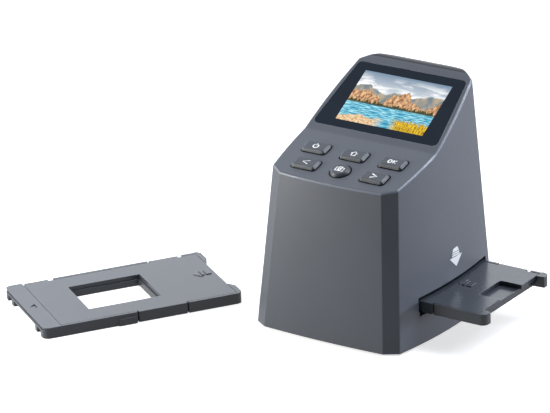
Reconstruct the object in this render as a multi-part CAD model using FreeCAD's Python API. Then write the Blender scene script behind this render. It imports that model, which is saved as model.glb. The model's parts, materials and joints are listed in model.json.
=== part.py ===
import FreeCAD
import Part
import math
import os

# A table-top film scanner: a wedge-shaped housing with a screen and six keys,
# a film holder that slides through a channel near its foot, and a second,
# loose film holder that lies beside it. Lengths are in millimetres.
# +X is to the right seen from the front, the front faces -Y, and +Z is up.

V = FreeCAD.Vector

# Housing shell
half_width_foot = 43.8
side_bow = 4.3
side_bow_reach = 43.4
widest_y = 4.8
front_margin = 22.2
rear_margin = 4.9
front_lean_deg = 7.1
front_bow = 1.1
front_chamfer_x = 6.6
front_chamfer_y = 4.15
rear_chamfer_x = 8.2
rear_chamfer_y = 5.8
back_bow = 3.0
chamfer_inset_share = 0.45
break_y = 0.9
break_level = 85.3
break_blend = 5.0
keypad_deg = 15.6
screen_deg = 30.1
roof_shift = 1.0
roof_roll = 7.0
roof_end_deg = 38.0
shell_wall = 2.2
top_wall = 2.6
edge_round = 0.9
foot_stand = 0.8
cut_overrun = 5.0

# Bottom cover and feet
cover_thickness = 2.2
cover_gap = 0.2
foot_radius = 4.5
foot_recess = 0.8
foot_gap = 0.1
front_foot_x = 33.0
front_foot_inset = 13.9
rear_foot_x = 32.0
rear_foot_inset = 4.5

# Screw posts and self-tapping screws
post_radius = 2.6
post_web = 1.4
post_height = 26.0
front_post_x = 22.0
front_post_inset = 11.4
rear_post_x = 20.0
rear_post_shift = 2.4
screw_radius = 1.1
screw_head_radius = 2.2
screw_head_height = 1.1
screw_length = 8.0
screw_gap = 0.05
screw_sink = 1.2
cross_length_share = 1.15
cross_width_share = 0.3
cross_depth_share = 0.55
small_screw_radius = 0.8
small_screw_head_radius = 1.6
small_screw_head_height = 0.8
small_screw_length = 4.0

# Film holders
holder_length = 99.8
holder_width = 57.8
holder_thickness = 5.35
holder_corner = 3.0
lid_thickness = 2.2
film_gap = 0.15
rim_width = 1.2
hinge_rim = 2.4
hinge_rim_chamfer = 0.5
hinge_pin_radius = 0.55
hinge_pin_gap = 0.05
hinge_plate_gap = 0.3
lid_gap = 0.25
end_strip = 8.7
window_length = 34.8
window_width = 28.1
window_shift_u = -4.6
window_shift_v = -0.45
window_step = 0.8
hinge_notch_shares = ((0.087, 0.245), (0.725, 0.905))
hinge_notch_floor = 2.3
hinge_tab_shares = ((0.1, 0.215), (0.735, 0.88))
latch_shares = (0.466, 0.725)
latch_gap = 0.8
thumb_lug_shares = (0.37, 0.46)
thumb_lug_reach = 0.8
thumb_lug_height = 3.4
strip_hollow_length = 7.4
strip_hollow_width = 47.0
strip_plate = 2.5
strip_lug_width = 3.2
strip_lug_shift = 17.0
strip_groove_low = 3.85
strip_groove_height = 0.9
strip_groove_depth = 2.0
strip_groove_margin = 1.6
strip_mark_peak_u = 5.5
strip_mark_peak_v = 1.2
strip_mark_long = 3.9
strip_mark_short = 3.4
strip_mark_turn_deg = 45.0
strip_mark_width = 0.8
strip_mark_depth = 0.6
loose_ear_width = 10.0
loose_ear_taper = 3.6
loose_end_recess = 2.6
slot_ear_width = 5.0
slot_ear_taper = 0.6
slot_end_recess = 4.0
slot_base_recess = 5.8
finger_cut_depth = 15.8
finger_cut_width = 19.3
finger_cut_shift = 0.8
finger_cut_corner = 1.5
loose_centre_x = -110.2
loose_centre_y = -47.9
loose_yaw_deg = 56.4

# Film channel
optic_y = 7.7
holder_outer_end_x = 75.2
guide_floor = 15.7
holder_play = 0.3
slot_margin_low = 1.55
slot_margin_high = 1.2
slot_margin_side = 1.2
guide_half_length = 36.0
guide_plate = 2.2
upper_guide_plate = 2.4
rail_width = 3.6
guide_screw_x = 31.0
light_window_length = 38.0
light_window_width = 28.0
spring_half_length = 8.0
spring_thickness = 0.3
spring_tip_gap = 0.25
spring_height = 1.5
spring_pocket_depth = 1.2
spring_pocket_margin = 1.0

# Light box
box_half_length = 30.0
box_half_width = 22.0
box_wall = 1.8
box_floor = 1.0
diffuser_thickness = 1.5
diffuser_ledge = 1.6
diffuser_gap = 0.1
board_thickness = 1.2
led_board_margin = 1.0
led_size = 3.0
led_height = 1.0
led_columns = 4
led_rows = 3
led_pitch_x = 12.0
led_pitch_y = 11.0

# Camera tower
flange_thickness = 2.0
flange_half_length = 26.0
flange_half_width = 19.5
tower_rise = 32.0
tunnel_foot_x = 21.0
tunnel_foot_y = 15.5
tunnel_head_x = 10.0
tunnel_head_y = 10.0
tunnel_wall = 1.8
tunnel_head_plate = 2.0
tower_post_radius = 2.6
tower_post_x = 22.8
tower_post_y = 16.2
tower_screw_x = 23.5
tower_screw_y = 0.0

# Lens and sensor
barrel_radius = 5.5
barrel_bore = 4.2
barrel_length = 11.0
barrel_gap = 0.05
barrel_ledge = 0.6
barrel_ledge_height = 0.8
lens_count = 3
lens_thickness = 1.4
lens_pitch = 3.4
lens_gap = 0.05
lens_holder_height = 6.0
lens_holder_size = 15.0
sensor_board_size = 21.0
sensor_size = 8.0
sensor_thickness = 1.0
connector_length = 12.0
connector_width = 4.0
connector_height = 2.8
connector_shift = 6.5

# Main board
main_half_width = 27.0
main_front_y = -12.0
main_thickness = 1.6
card_x = -7.4
card_width = 26.4
card_depth = 26.0
card_height = 3.0
card_mouth_width = 24.4
card_mouth_height = 2.2
card_mouth_depth = 21.0
usb_x = 12.4
usb_width = 7.8
usb_depth = 9.2
usb_height = 3.9
usb_wall = 0.5
video_x = 21.6
video_body = 6.0
video_depth = 11.0
video_bore = 1.8
socket_shift = 5.1
port_margin = 0.5
chip_height = 1.2
processor_size = 14.0
memory_length = 11.0
memory_width = 8.0
clock_length = 5.0
clock_width = 3.2
processor_place_shares = (-0.2, 0.36)
memory_place_shares = ((-0.53, 0.14), (0.53, 0.14))
clock_place_shares = (0.86, 0.42)

# Keys and their switches
key_width = 13.2
key_depth = 8.0
key_corner = 1.6
key_rise = 1.5
key_bevel = 1.2
key_top_round = 0.25
round_key_radius = 5.0
key_play = 0.45
key_flange = 0.7
key_flange_height = 0.8
key_seat_gap = 0.05
key_travel = 0.6
key_stem_radius = 1.6
key_stem_length = 1.75
upper_row_s = -13.1
lower_row_s = -25.8
upper_key_x = 21.1
lower_key_x = 18.7
plunger_radius = 1.75
plunger_rest_gap = 0.4
plunger_proud = 0.8
plunger_gap = 0.1
switch_size = 6.0
switch_height = 2.2
boss_radius = 1.6
boss_inner_x = 10.5
boss_inner_s = -4.6
boss_outer_inset = 2.0
boss_outer_s = -19.45
button_board_margin = 3.9
button_board_low_s = -31.4
button_board_high_s = -2.6

# Screen
glass_low_s = 4.3
glass_high_s = 44.5
glass_margin_low = 7.7
glass_margin_high = 3.2
glass_corner = 2.6
glass_thickness = 1.2
glass_gap = 0.12
view_margin = 1.5
view_height = 34.0
view_centre_s = 24.3
lcd_width = 53.0
lcd_height = 38.0
lcd_thickness = 2.2
lcd_frame_thickness = 1.4
lcd_frame_rim = 4.0
lcd_ear_shift = 2.5
screen_side_margin = 8.77
lcd_ear_low_s = 13.0
lcd_ear_high_s = 31.0
lcd_ear_radius = 2.2
lcd_screw_length = 2.0

# Flat cables
ribbon_thickness = 0.3
ribbon_bend = 1.6
lcd_ribbon_width = 14.0
lcd_ribbon_x = 12.0
lcd_ribbon_start_s = 12.0
lcd_ribbon_end_s = 17.0
lcd_ribbon_tail = 8.0
button_ribbon_width = 10.0
button_ribbon_x = -3.0
button_ribbon_start_s = -10.0
button_ribbon_end_s = -3.6
button_ribbon_tail = 7.0
led_ribbon_width = 6.0
led_ribbon_x = 10.0
led_ribbon_inside = 5.0
led_ribbon_clearance = 3.5
led_ribbon_end_y = -5.0
ribbon_notch_margin = 0.4

# Values that follow from the sizes above
keypad_angle = math.radians(keypad_deg)
screen_angle = math.radians(screen_deg)
front_slope = math.tan(math.radians(front_lean_deg))
screen_level = break_level + view_centre_s * math.sin(screen_angle)
side_slope = (half_width_foot - lcd_width / 2 - screen_side_margin) / screen_level
front_reach = holder_width / 2 - optic_y + front_margin
side_rear_y = holder_width / 2 + optic_y + rear_margin
roof_start_y = side_rear_y + roof_shift
front_foot_y = front_foot_inset - front_reach
rear_foot_y = side_rear_y - rear_foot_inset
front_post_y = front_post_inset - front_reach
rear_post_y = side_rear_y + rear_post_shift
main_rear_y = side_rear_y
socket_mouth_y = side_rear_y + socket_shift
glass_width_low = lcd_width + 2 * glass_margin_low
glass_width_high = lcd_width + 2 * glass_margin_high
view_width = lcd_width - 2 * view_margin
lcd_ear_x = lcd_width / 2 + lcd_ear_shift
button_board_half_width = lcd_width / 2 + button_board_margin
boss_outer_x = button_board_half_width - boss_outer_inset
cover_top = foot_stand + cover_thickness
slot_holder_z = guide_floor + holder_play
guide_ceiling = slot_holder_z + holder_thickness + holder_play
slot_low = guide_floor - slot_margin_low
slot_high = guide_ceiling + slot_margin_high
slot_half = holder_width / 2 + slot_margin_side
channel_rear_y = optic_y + holder_width / 2 + holder_play
channel_front_y = optic_y - holder_width / 2 - thumb_lug_reach - holder_play
led_ribbon_front_y = channel_front_y - rail_width - led_ribbon_clearance
spring_low = slot_holder_z + thumb_lug_height + holder_play
box_top = guide_floor - guide_plate
tower_foot = guide_ceiling + upper_guide_plate
tower_top = tower_foot + tower_rise
sensor_board_z = tower_top + lens_holder_height
main_board_z = sensor_board_z + board_thickness + connector_height
main_board_top = main_board_z + main_thickness
led_board_z = cover_top + box_floor
key_under = -top_wall - key_seat_gap
plunger_top = key_under - key_flange_height - key_stem_length
switch_top = plunger_top - plunger_proud
button_board_top = switch_top - switch_height
plunger_height = plunger_proud + switch_height - key_travel - plunger_rest_gap
button_board_low = button_board_top - board_thickness
glass_low = -glass_thickness - glass_gap / 2
lcd_top = -top_wall
lcd_low = lcd_top - lcd_thickness
lcd_frame_low = lcd_low - lcd_frame_thickness
loft_top = break_level + side_rear_y
barrel_top = sensor_board_z - sensor_thickness - barrel_ledge_height
hinge_axis_v = holder_width / 2 - hinge_rim / 2
hinge_axis_w = holder_thickness - hinge_rim / 2
lid_low = holder_thickness - lid_thickness + film_gap
lid_start_u = -holder_length / 2 + end_strip


def block(low, high):
    """Return a box between two corners."""
    size = [high[i] - low[i] for i in range(len(low))]
    return Part.makeBox(size[0], size[1], size[2], V(*low))


def centred_block(x, y, low, high, width, depth):
    """Return an upright box centred on x, y."""
    return block((x - width / 2, y - depth / 2, low), (x + width / 2, y + depth / 2, high))


def rod(x, y, low, high, radius):
    """Return an upright cylinder."""
    return Part.makeCylinder(radius, high - low, V(x, y, low))


def rounded_face(width, depth, radius):
    """Return a flat rounded rectangle centred on the origin."""
    x = width / 2
    y = depth / 2
    edges = []
    corners = ((1, 1, 0), (-1, 1, 90), (-1, -1, 180), (1, -1, 270))
    starts = []
    ends = []
    for sign_x, sign_y, start in corners:
        centre = V(sign_x * (x - radius), sign_y * (y - radius), 0)
        points = []
        for turn in (0, 45, 90):
            angle = math.radians(start + turn)
            points.append(centre + V(math.cos(angle), math.sin(angle), 0) * radius)
        edges.append(Part.Arc(*points).toShape())
        starts.append(points[0])
        ends.append(points[2])
    for index in range(len(corners)):
        edges.append(Part.LineSegment(ends[index - 1], starts[index]).toShape())
    return Part.Face(Part.Wire(Part.sortEdges(edges)[0]))


def rounded_block(x, y, low, high, width, depth, radius):
    """Return an upright rounded block centred on x, y."""
    face = rounded_face(width, depth, radius)
    face.translate(V(x, y, low))
    return face.extrude(V(0, 0, high - low))


def polygon_prism(points, low, high):
    """Return an upright prism over a polygon."""
    corners = [V(x, y, low) for x, y in points]
    wire = Part.makePolygon(corners + corners[:1])
    return Part.Face(wire).extrude(V(0, 0, high - low))


def joined(shapes):
    """Return one solid made of touching shapes."""
    first = shapes[0].fuse(shapes[1:])
    return first.removeSplitter()


def on_slope(shape, angle_deg):
    """Tilt a shape drawn flat at the break line onto the keypad or screen slope."""
    placed = shape.copy()
    placed.rotate(V(0, 0, 0), V(1, 0, 0), angle_deg)
    placed.translate(V(0, break_y, break_level))
    return placed


def screw(x, y, seat, radius, head_radius, head_height, length):
    """Return a cross-head screw whose head lies below its seat and whose shank points up."""
    bottom = seat - head_height
    head = rod(x, y, bottom, seat, head_radius)
    shank = rod(x, y, seat, seat + length, radius)
    recess_top = bottom + head_height * cross_depth_share
    long_side = head_radius * cross_length_share
    short_side = head_radius * cross_width_share
    arms = [
        centred_block(x, y, bottom - cut_overrun, recess_top, long_side, short_side),
        centred_block(x, y, bottom - cut_overrun, recess_top, short_side, long_side),
    ]
    return joined([head, shank]).cut(arms)


def small_screw(x, y, seat, length):
    """Return one of the small screws used inside the housing."""
    return screw(x, y, seat, small_screw_radius, small_screw_head_radius, small_screw_head_height, length)


def turned_over(shape, level):
    """Turn a shape upside down about a level."""
    return shape.mirror(V(0, 0, level), V(0, 0, 1))


def save(name, shape):
    """Write one piece, or one group of equal pieces, to its file."""
    shape.exportStep("parts/" + name + ".step")
    print(name, len(shape.Solids), round(shape.Volume, 1), shape.isValid())


# Housing outline
def side_x(y, level, inset):
    """Return the side wall's x at a depth and a height."""
    bow = side_bow * ((y - widest_y) / side_bow_reach) ** 2
    return half_width_foot - side_slope * level - inset - bow


def outline(level, inset):
    """Return the housing's outline at one height, moved in by an inset."""
    front_y = -front_reach + front_slope * level + inset
    corner_y = front_y + front_bow
    side_y = corner_y + front_chamfer_y
    side_front = V(side_x(side_y, level, inset), side_y, level)
    front_corner = V(side_front.x - front_chamfer_x, corner_y, level)
    rear_y = side_rear_y - inset * chamfer_inset_share
    side_rear = V(side_x(rear_y, level, inset), rear_y, level)
    back_y = side_rear_y + rear_chamfer_y - inset
    rear_corner = V(side_rear.x - rear_chamfer_x, back_y, level)
    widest = V(side_x(widest_y, level, inset), widest_y, level)
    right = [front_corner, side_front, widest, side_rear, rear_corner]
    left = [V(-p.x, p.y, p.z) for p in right]
    edges = [
        Part.Arc(left[0], V(0, front_y, level), right[0]).toShape(),
        Part.LineSegment(right[0], right[1]).toShape(),
        Part.Arc(right[1], right[2], right[3]).toShape(),
        Part.LineSegment(right[3], right[4]).toShape(),
        Part.Arc(right[4], V(0, back_y + back_bow, level), left[4]).toShape(),
        Part.LineSegment(left[4], left[3]).toShape(),
        Part.Arc(left[3], left[2], left[1]).toShape(),
        Part.LineSegment(left[1], left[0]).toShape(),
    ]
    return Part.Wire(edges)


def slope_point(angle, along, drop):
    """Return a point of a top slope, counted from the break line, below its surface."""
    y = break_y + along * math.cos(angle) + drop * math.sin(angle)
    z = break_level + along * math.sin(angle) - drop * math.cos(angle)
    return V(0, y, z)


def top_profile(drop):
    """Return the side view of the housing's top, as a wide solid, below its surface."""
    reach = half_width_foot + front_reach
    turn = screen_angle - keypad_angle
    corner = drop * math.tan(turn / 2)
    blend = (break_blend + drop) * math.tan(turn / 2)
    front = slope_point(keypad_angle, -reach, drop)
    low = slope_point(keypad_angle, -blend + corner, drop)
    high = slope_point(screen_angle, blend - corner, drop)
    middle_angle = keypad_angle + turn / 2
    centre = low + V(0, -math.sin(keypad_angle), math.cos(keypad_angle)) * (break_blend + drop)
    dip = centre + V(0, math.sin(middle_angle), -math.cos(middle_angle)) * (break_blend + drop)
    roof_along = (roof_start_y - break_y) / math.cos(screen_angle)
    roof = slope_point(screen_angle, roof_along, drop)
    roof_centre = slope_point(screen_angle, roof_along, roof_roll)
    roll = roof_roll - drop
    end_angle = math.radians(roof_end_deg)
    start_angle = math.pi / 2 + screen_angle
    crest_angle = (start_angle + end_angle) / 2
    crest = roof_centre + V(0, math.cos(crest_angle), math.sin(crest_angle)) * roll
    end = roof_centre + V(0, math.cos(end_angle), math.sin(end_angle)) * roll
    back = end + V(0, math.sin(end_angle), -math.cos(end_angle)) * roof_roll
    points = [V(0, back.y, -cut_overrun), V(0, front.y, -cut_overrun)]
    edges = [
        Part.LineSegment(front, low).toShape(),
        Part.Arc(low, dip, high).toShape(),
        Part.LineSegment(high, roof).toShape(),
        Part.Arc(roof, crest, end).toShape(),
        Part.LineSegment(end, back).toShape(),
        Part.LineSegment(back, points[0]).toShape(),
        Part.LineSegment(points[0], points[1]).toShape(),
        Part.LineSegment(points[1], front).toShape(),
    ]
    face = Part.Face(Part.Wire(edges))
    face.translate(V(-reach, 0, 0))
    return face.extrude(V(2 * reach, 0, 0))


def housing_body(low, inset, drop):
    """Return the solid that fills the housing, moved in by an inset."""
    body = Part.makeLoft([outline(low, inset), outline(loft_top, inset)], True, True)
    return body.common(top_profile(drop))


# Screw places, shared by the pieces that they join
def four_places(x, y, centre_y):
    """Return four places about a centre."""
    return [(sx * x, centre_y + sy * y) for sx in (-1, 1) for sy in (-1, 1)]


post_places = [
    (-front_post_x, front_post_y),
    (front_post_x, front_post_y),
    (-rear_post_x, rear_post_y),
    (rear_post_x, rear_post_y),
]
foot_places = [
    (-front_foot_x, front_foot_y),
    (front_foot_x, front_foot_y),
    (-rear_foot_x, rear_foot_y),
    (rear_foot_x, rear_foot_y),
]
guide_places = [
    (side * guide_screw_x, y)
    for side in (-1, 1)
    for y in (channel_front_y - rail_width / 2, channel_rear_y + rail_width / 2)
]
tower_post_places = four_places(tower_post_x, tower_post_y, optic_y)
tower_screw_places = [(side * tower_screw_x, optic_y + tower_screw_y) for side in (-1, 1)]
button_boss_places = [
    (-boss_inner_x, boss_inner_s),
    (boss_inner_x, boss_inner_s),
    (-boss_outer_x, boss_outer_s),
    (boss_outer_x, boss_outer_s),
]
lcd_ear_places = [(sx * lcd_ear_x, s) for sx in (-1, 1) for s in (lcd_ear_low_s, lcd_ear_high_s)]
key_places = {
    "power": (-upper_key_x, upper_row_s),
    "home": (0, upper_row_s),
    "ok": (upper_key_x, upper_row_s),
    "left": (-lower_key_x, lower_row_s),
    "camera": (0, lower_row_s),
    "right": (lower_key_x, lower_row_s),
}
round_keys = ("camera",)


# Upper housing
def key_outline(name, low, high, grow):
    """Return a key's upright block in slope coordinates, grown on all sides."""
    x, s = key_places[name]
    if name in round_keys:
        return rod(x, s, low, high, round_key_radius + grow)
    return rounded_block(x, s, low, high, key_width + 2 * grow, key_depth + 2 * grow, key_corner + grow)


def glass_outline(low, high, gap):
    """Return the screen window's rounded trapezium in slope coordinates."""
    bottom = glass_width_low / 2 + gap
    top = glass_width_high / 2 + gap
    points = [
        (-bottom, glass_low_s - gap),
        (bottom, glass_low_s - gap),
        (top, glass_high_s + gap),
        (-top, glass_high_s + gap),
    ]
    plate = polygon_prism(points, low, high)
    corners = [edge for edge in plate.Edges if abs(edge.BoundBox.ZLength - (high - low)) < glass_gap]
    return plate.makeFillet(glass_corner + gap, corners)


def housing_posts(outer):
    """Return the screw posts and their webs to the nearest wall."""
    posts = []
    top = cover_top + post_height
    for x, y in post_places:
        side = math.copysign(1, y)
        post = rod(x, y, cover_top, top, post_radius)
        ends = sorted((y, y + side * (post_radius + rear_chamfer_x)))
        web = block((x - post_web / 2, ends[0], cover_top), (x + post_web / 2, ends[1], top))
        piece = joined([post, web]).common(outer)
        hole = rod(x, y, cover_top - screw_gap, cover_top + screw_length, screw_radius + screw_gap)
        posts.append(piece.cut(hole))
    return posts


def slope_bosses():
    """Return the bosses that hang under the keypad and the screen."""
    bosses = []
    hole = small_screw_radius + screw_gap
    for x, s in button_boss_places:
        post = rod(x, s, button_board_top, -top_wall / 2, boss_radius)
        drill = rod(x, s, button_board_top - screw_gap, button_board_top + small_screw_length, hole)
        bosses.append(on_slope(post.cut(drill), keypad_deg))
    for x, s in lcd_ear_places:
        post = rod(x, s, lcd_low, -top_wall / 2, boss_radius)
        drill = rod(x, s, lcd_low - screw_gap, lcd_low + lcd_screw_length, hole)
        bosses.append(on_slope(post.cut(drill), screen_deg))
    return bosses


def rear_ports():
    """Return the cuts for the sockets in the back wall."""
    reach = side_rear_y + rear_chamfer_y + back_bow + cut_overrun
    margin = 2 * port_margin
    low = main_board_top
    ports = []
    for x, width, height in (
        (card_x, card_width, card_height),
        (usb_x, usb_width, usb_height),
        (video_x, video_body, video_body),
    ):
        ports.append(block(
            (x - width / 2 - port_margin, side_rear_y - shell_wall, low - port_margin),
            (x + width / 2 + port_margin, reach, low + height + margin - port_margin),
        ))
    return ports


def upper_housing():
    """Return the one-piece shell with its top, posts, bosses and openings."""
    outer = housing_body(-cut_overrun, 0, 0).Solids[0]
    sharp_x = half_width_foot - front_chamfer_x - side_bow
    edges = []
    for edge in outer.Edges:
        blunt_corner = edge.BoundBox.ZLength > post_height and abs(edge.CenterOfMass.x) < sharp_x
        if edge.BoundBox.ZMax > cover_top and not blunt_corner:
            edges.append(edge)
    reach = half_width_foot + front_reach
    above_foot = block((-reach, -reach, foot_stand), (reach, reach, loft_top))
    outer = outer.makeFillet(edge_round, edges).common(above_foot)
    inner = housing_body(-cut_overrun, shell_wall, top_wall)
    shell = outer.cut(inner)
    shell = shell.fuse(housing_posts(outer) + slope_bosses())
    cuts = [block(
        (-half_width_foot - cut_overrun, optic_y - slot_half, slot_low),
        (half_width_foot + cut_overrun, optic_y + slot_half, slot_high),
    )]
    under = -top_wall - cut_overrun / 2
    for name in key_places:
        cuts.append(on_slope(key_outline(name, under, cut_overrun, key_play), keypad_deg))
    cuts.append(on_slope(glass_outline(glass_low, cut_overrun, glass_gap), screen_deg))
    view = rounded_block(0, view_centre_s, under, cut_overrun, view_width, view_height, glass_corner)
    cuts.append(on_slope(view, screen_deg))
    cuts.extend(rear_ports())
    return shell.cut(cuts).removeSplitter()


# Base
def bottom_cover():
    """Return the cover plate with recesses for feet and screws."""
    inset = shell_wall + cover_gap
    cover = Part.makeLoft([outline(foot_stand, inset), outline(cover_top, inset)], True, True)
    cuts = []
    for x, y in foot_places:
        cuts.append(rod(x, y, -foot_recess, foot_stand + foot_recess, foot_radius + foot_gap))
    for x, y in post_places:
        cuts.append(rod(x, y, -foot_recess, foot_stand + screw_sink, screw_head_radius + foot_gap))
        cuts.append(rod(x, y, -foot_recess, cover_top + cut_overrun, screw_radius + screw_gap))
    return cover.cut(cuts)


def rubber_feet():
    """Return the four feet."""
    return Part.makeCompound([rod(x, y, 0, foot_stand + foot_recess, foot_radius) for x, y in foot_places])


def base_screws():
    """Return the screws that hold the cover to the housing's posts."""
    seat = foot_stand + screw_sink
    length = cover_top - seat + screw_length - screw_gap
    return Part.makeCompound([
        screw(x, y, seat, screw_radius, screw_head_radius, screw_head_height, length)
        for x, y in post_places
    ])


# Light box under the film
def ribbon_notch():
    """Return the cut where the light's cable leaves the box."""
    low = led_board_z + board_thickness - ribbon_notch_margin / 2
    high = led_board_z + board_thickness + ribbon_thickness + ribbon_notch_margin
    half = led_ribbon_width / 2 + ribbon_notch_margin
    front = optic_y - box_half_width - cut_overrun
    back = optic_y - box_half_width + 2 * box_wall
    return block((led_ribbon_x - half, front, low), (led_ribbon_x + half, back, high))


def light_box():
    """Return the open white box that spreads the light."""
    body = centred_block(0, optic_y, cover_top, box_top, 2 * box_half_length, 2 * box_half_width)
    hollow_x = 2 * (box_half_length - box_wall)
    hollow_y = 2 * (box_half_width - box_wall)
    ledge_z = box_top - diffuser_thickness - diffuser_gap
    lower = centred_block(
        0, optic_y, led_board_z, box_top + cut_overrun,
        hollow_x - 2 * diffuser_ledge, hollow_y - 2 * diffuser_ledge,
    )
    seat = centred_block(0, optic_y, led_board_z, led_board_z + 2 * board_thickness, hollow_x, hollow_y)
    upper = centred_block(0, optic_y, ledge_z, box_top + cut_overrun, hollow_x, hollow_y)
    return body.cut([lower, seat, upper, ribbon_notch()])


def diffuser():
    """Return the plate that lies on the box's ledge."""
    low = box_top - diffuser_thickness - diffuser_gap
    width = 2 * (box_half_length - box_wall - diffuser_gap)
    depth = 2 * (box_half_width - box_wall - diffuser_gap)
    return centred_block(0, optic_y, low, low + diffuser_thickness, width, depth)


def led_board():
    """Return the light's circuit board."""
    width = 2 * (box_half_length - box_wall - led_board_margin)
    depth = 2 * (box_half_width - box_wall - led_board_margin)
    return centred_block(0, optic_y, led_board_z, led_board_z + board_thickness, width, depth)


def leds():
    """Return the rows of light-emitting diodes."""
    low = led_board_z + board_thickness
    lamps = []
    for column in range(led_columns):
        for row in range(led_rows):
            x = (column - (led_columns - 1) / 2) * led_pitch_x
            y = optic_y + (row - (led_rows - 1) / 2) * led_pitch_y
            lamps.append(centred_block(x, y, low, low + led_height, led_size, led_size))
    return Part.makeCompound(lamps)


# Film channel
def guide_screw_holes(low, high):
    """Return the holes for the screws that join the two guides."""
    return [rod(x, y, low, high, small_screw_radius + screw_gap) for x, y in guide_places]


def light_window(low, high):
    """Return the cut that lets the light through."""
    return centred_block(0, optic_y, low, high, light_window_length, light_window_width)


def lower_film_guide():
    """Return the channel's floor with its two side rails."""
    half = guide_half_length
    reach = half + cut_overrun
    above = guide_ceiling + cut_overrun
    body = block(
        (-half, channel_front_y - rail_width, box_top),
        (half, channel_rear_y + rail_width, guide_ceiling),
    )
    channel = block((-reach, channel_front_y, guide_floor), (reach, channel_rear_y, above))
    half = spring_half_length + spring_pocket_margin
    pocket = block(
        (-half, channel_front_y - spring_pocket_depth, spring_low - spring_thickness),
        (half, channel_front_y + spring_pocket_depth, above),
    )
    holes = guide_screw_holes(guide_ceiling - small_screw_length, above)
    return body.cut([channel, pocket, light_window(-cut_overrun, guide_ceiling)] + holes)


def upper_film_guide():
    """Return the channel's ceiling plate."""
    body = block(
        (-guide_half_length, channel_front_y - rail_width, guide_ceiling),
        (guide_half_length, channel_rear_y + rail_width, tower_foot),
    )
    low = guide_ceiling - cut_overrun
    high = tower_foot + cut_overrun
    holes = guide_screw_holes(low, high)
    for x, y in tower_screw_places:
        holes.append(rod(x, y, low, high, small_screw_radius + screw_gap))
    return body.cut([light_window(low, high)] + holes)


def guide_screws():
    """Return the screws that hold the upper guide to the lower guide's rails."""
    length = upper_guide_plate + small_screw_length - screw_gap
    seat = tower_foot
    screws = []
    for x, y in guide_places:
        screws.append(turned_over(small_screw(x, y, seat, length), seat))
    return Part.makeCompound(screws)


def detent_spring():
    """Return the bowed leaf that presses on the holder's front edge."""
    back = channel_front_y - spring_pocket_depth
    low = spring_low
    tip = optic_y - holder_width / 2 - spring_tip_gap - spring_thickness
    outer = [V(-spring_half_length, back, low), V(0, tip, low), V(spring_half_length, back, low)]
    inner = [point + V(0, spring_thickness, 0) for point in outer]
    edges = [
        Part.Arc(*outer).toShape(),
        Part.LineSegment(outer[2], inner[2]).toShape(),
        Part.Arc(inner[2], inner[1], inner[0]).toShape(),
        Part.LineSegment(inner[0], outer[0]).toShape(),
    ]
    return Part.Face(Part.Wire(edges)).extrude(V(0, 0, spring_height))


# Camera tower
def square_wire(half_x, half_y, level):
    """Return a rectangle about the optical axis at one height."""
    corners = [
        V(-half_x, optic_y - half_y, level),
        V(half_x, optic_y - half_y, level),
        V(half_x, optic_y + half_y, level),
        V(-half_x, optic_y + half_y, level),
    ]
    return Part.makePolygon(corners + corners[:1])


def camera_tower():
    """Return the light-tight tunnel with its flange and the main board's posts."""
    outer = Part.makeLoft([
        square_wire(tunnel_foot_x, tunnel_foot_y, tower_foot),
        square_wire(tunnel_head_x, tunnel_head_y, tower_top),
    ], True, True)
    hollow = Part.makeLoft([
        square_wire(tunnel_foot_x - tunnel_wall, tunnel_foot_y - tunnel_wall, tower_foot),
        square_wire(tunnel_head_x - tunnel_wall, tunnel_head_y - tunnel_wall, tower_top - tunnel_head_plate),
    ], True, True)
    flange_top = tower_foot + flange_thickness
    flange = centred_block(0, optic_y, tower_foot, flange_top, 2 * flange_half_length, 2 * flange_half_width)
    posts = [rod(x, y, tower_foot, main_board_z, tower_post_radius) for x, y in tower_post_places]
    bore = rod(0, optic_y, tower_top - cut_overrun, tower_top + cut_overrun, barrel_radius + barrel_gap)
    cuts = [hollow, bore]
    hole = small_screw_radius + screw_gap
    for x, y in tower_post_places:
        cuts.append(rod(x, y, main_board_z - small_screw_length, main_board_z + cut_overrun, hole))
    for x, y in tower_screw_places:
        cuts.append(rod(x, y, tower_foot - cut_overrun, tower_foot + cut_overrun, hole))
    return joined([outer, flange] + posts).cut(cuts)


def tower_screws():
    """Return the screws that hold the tower's flange to the upper guide."""
    seat = tower_foot + flange_thickness
    length = flange_thickness + upper_guide_plate - screw_gap
    screws = []
    for x, y in tower_screw_places:
        screws.append(turned_over(small_screw(x, y, seat, length), seat))
    return Part.makeCompound(screws)


# Lens and sensor
def lens_place(index):
    """Return the height of one lens element's lower face."""
    return barrel_top - barrel_ledge_height - (index + 1) * lens_pitch + lens_pitch - lens_thickness


def lens_barrel():
    """Return the barrel with a ledge under each lens element."""
    low = barrel_top - barrel_length
    body = rod(0, optic_y, low, barrel_top, barrel_radius)
    cuts = [rod(0, optic_y, low - cut_overrun, barrel_top + cut_overrun, barrel_bore - barrel_ledge)]
    for index in range(lens_count):
        seat = lens_place(index)
        cuts.append(rod(0, optic_y, seat, seat + lens_pitch - barrel_ledge_height, barrel_bore))
    return body.cut(cuts)


def lens_elements():
    """Return the glass elements on their ledges."""
    return Part.makeCompound([
        rod(0, optic_y, lens_place(index), lens_place(index) + lens_thickness, barrel_bore - lens_gap)
        for index in range(lens_count)
    ])


def lens_holder():
    """Return the block that carries the barrel under the sensor board."""
    body = centred_block(0, optic_y, tower_top, sensor_board_z, lens_holder_size, lens_holder_size)
    bore = rod(0, optic_y, tower_top - cut_overrun, sensor_board_z, barrel_radius + barrel_gap)
    pocket = centred_block(
        0, optic_y, sensor_board_z - sensor_thickness - barrel_gap, sensor_board_z + cut_overrun,
        sensor_size + sensor_thickness, sensor_size + sensor_thickness,
    )
    return body.cut([bore, pocket])


def sensor_board():
    """Return the small board above the lens."""
    high = sensor_board_z + board_thickness
    return centred_block(0, optic_y, sensor_board_z, high, sensor_board_size, sensor_board_size)


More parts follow.
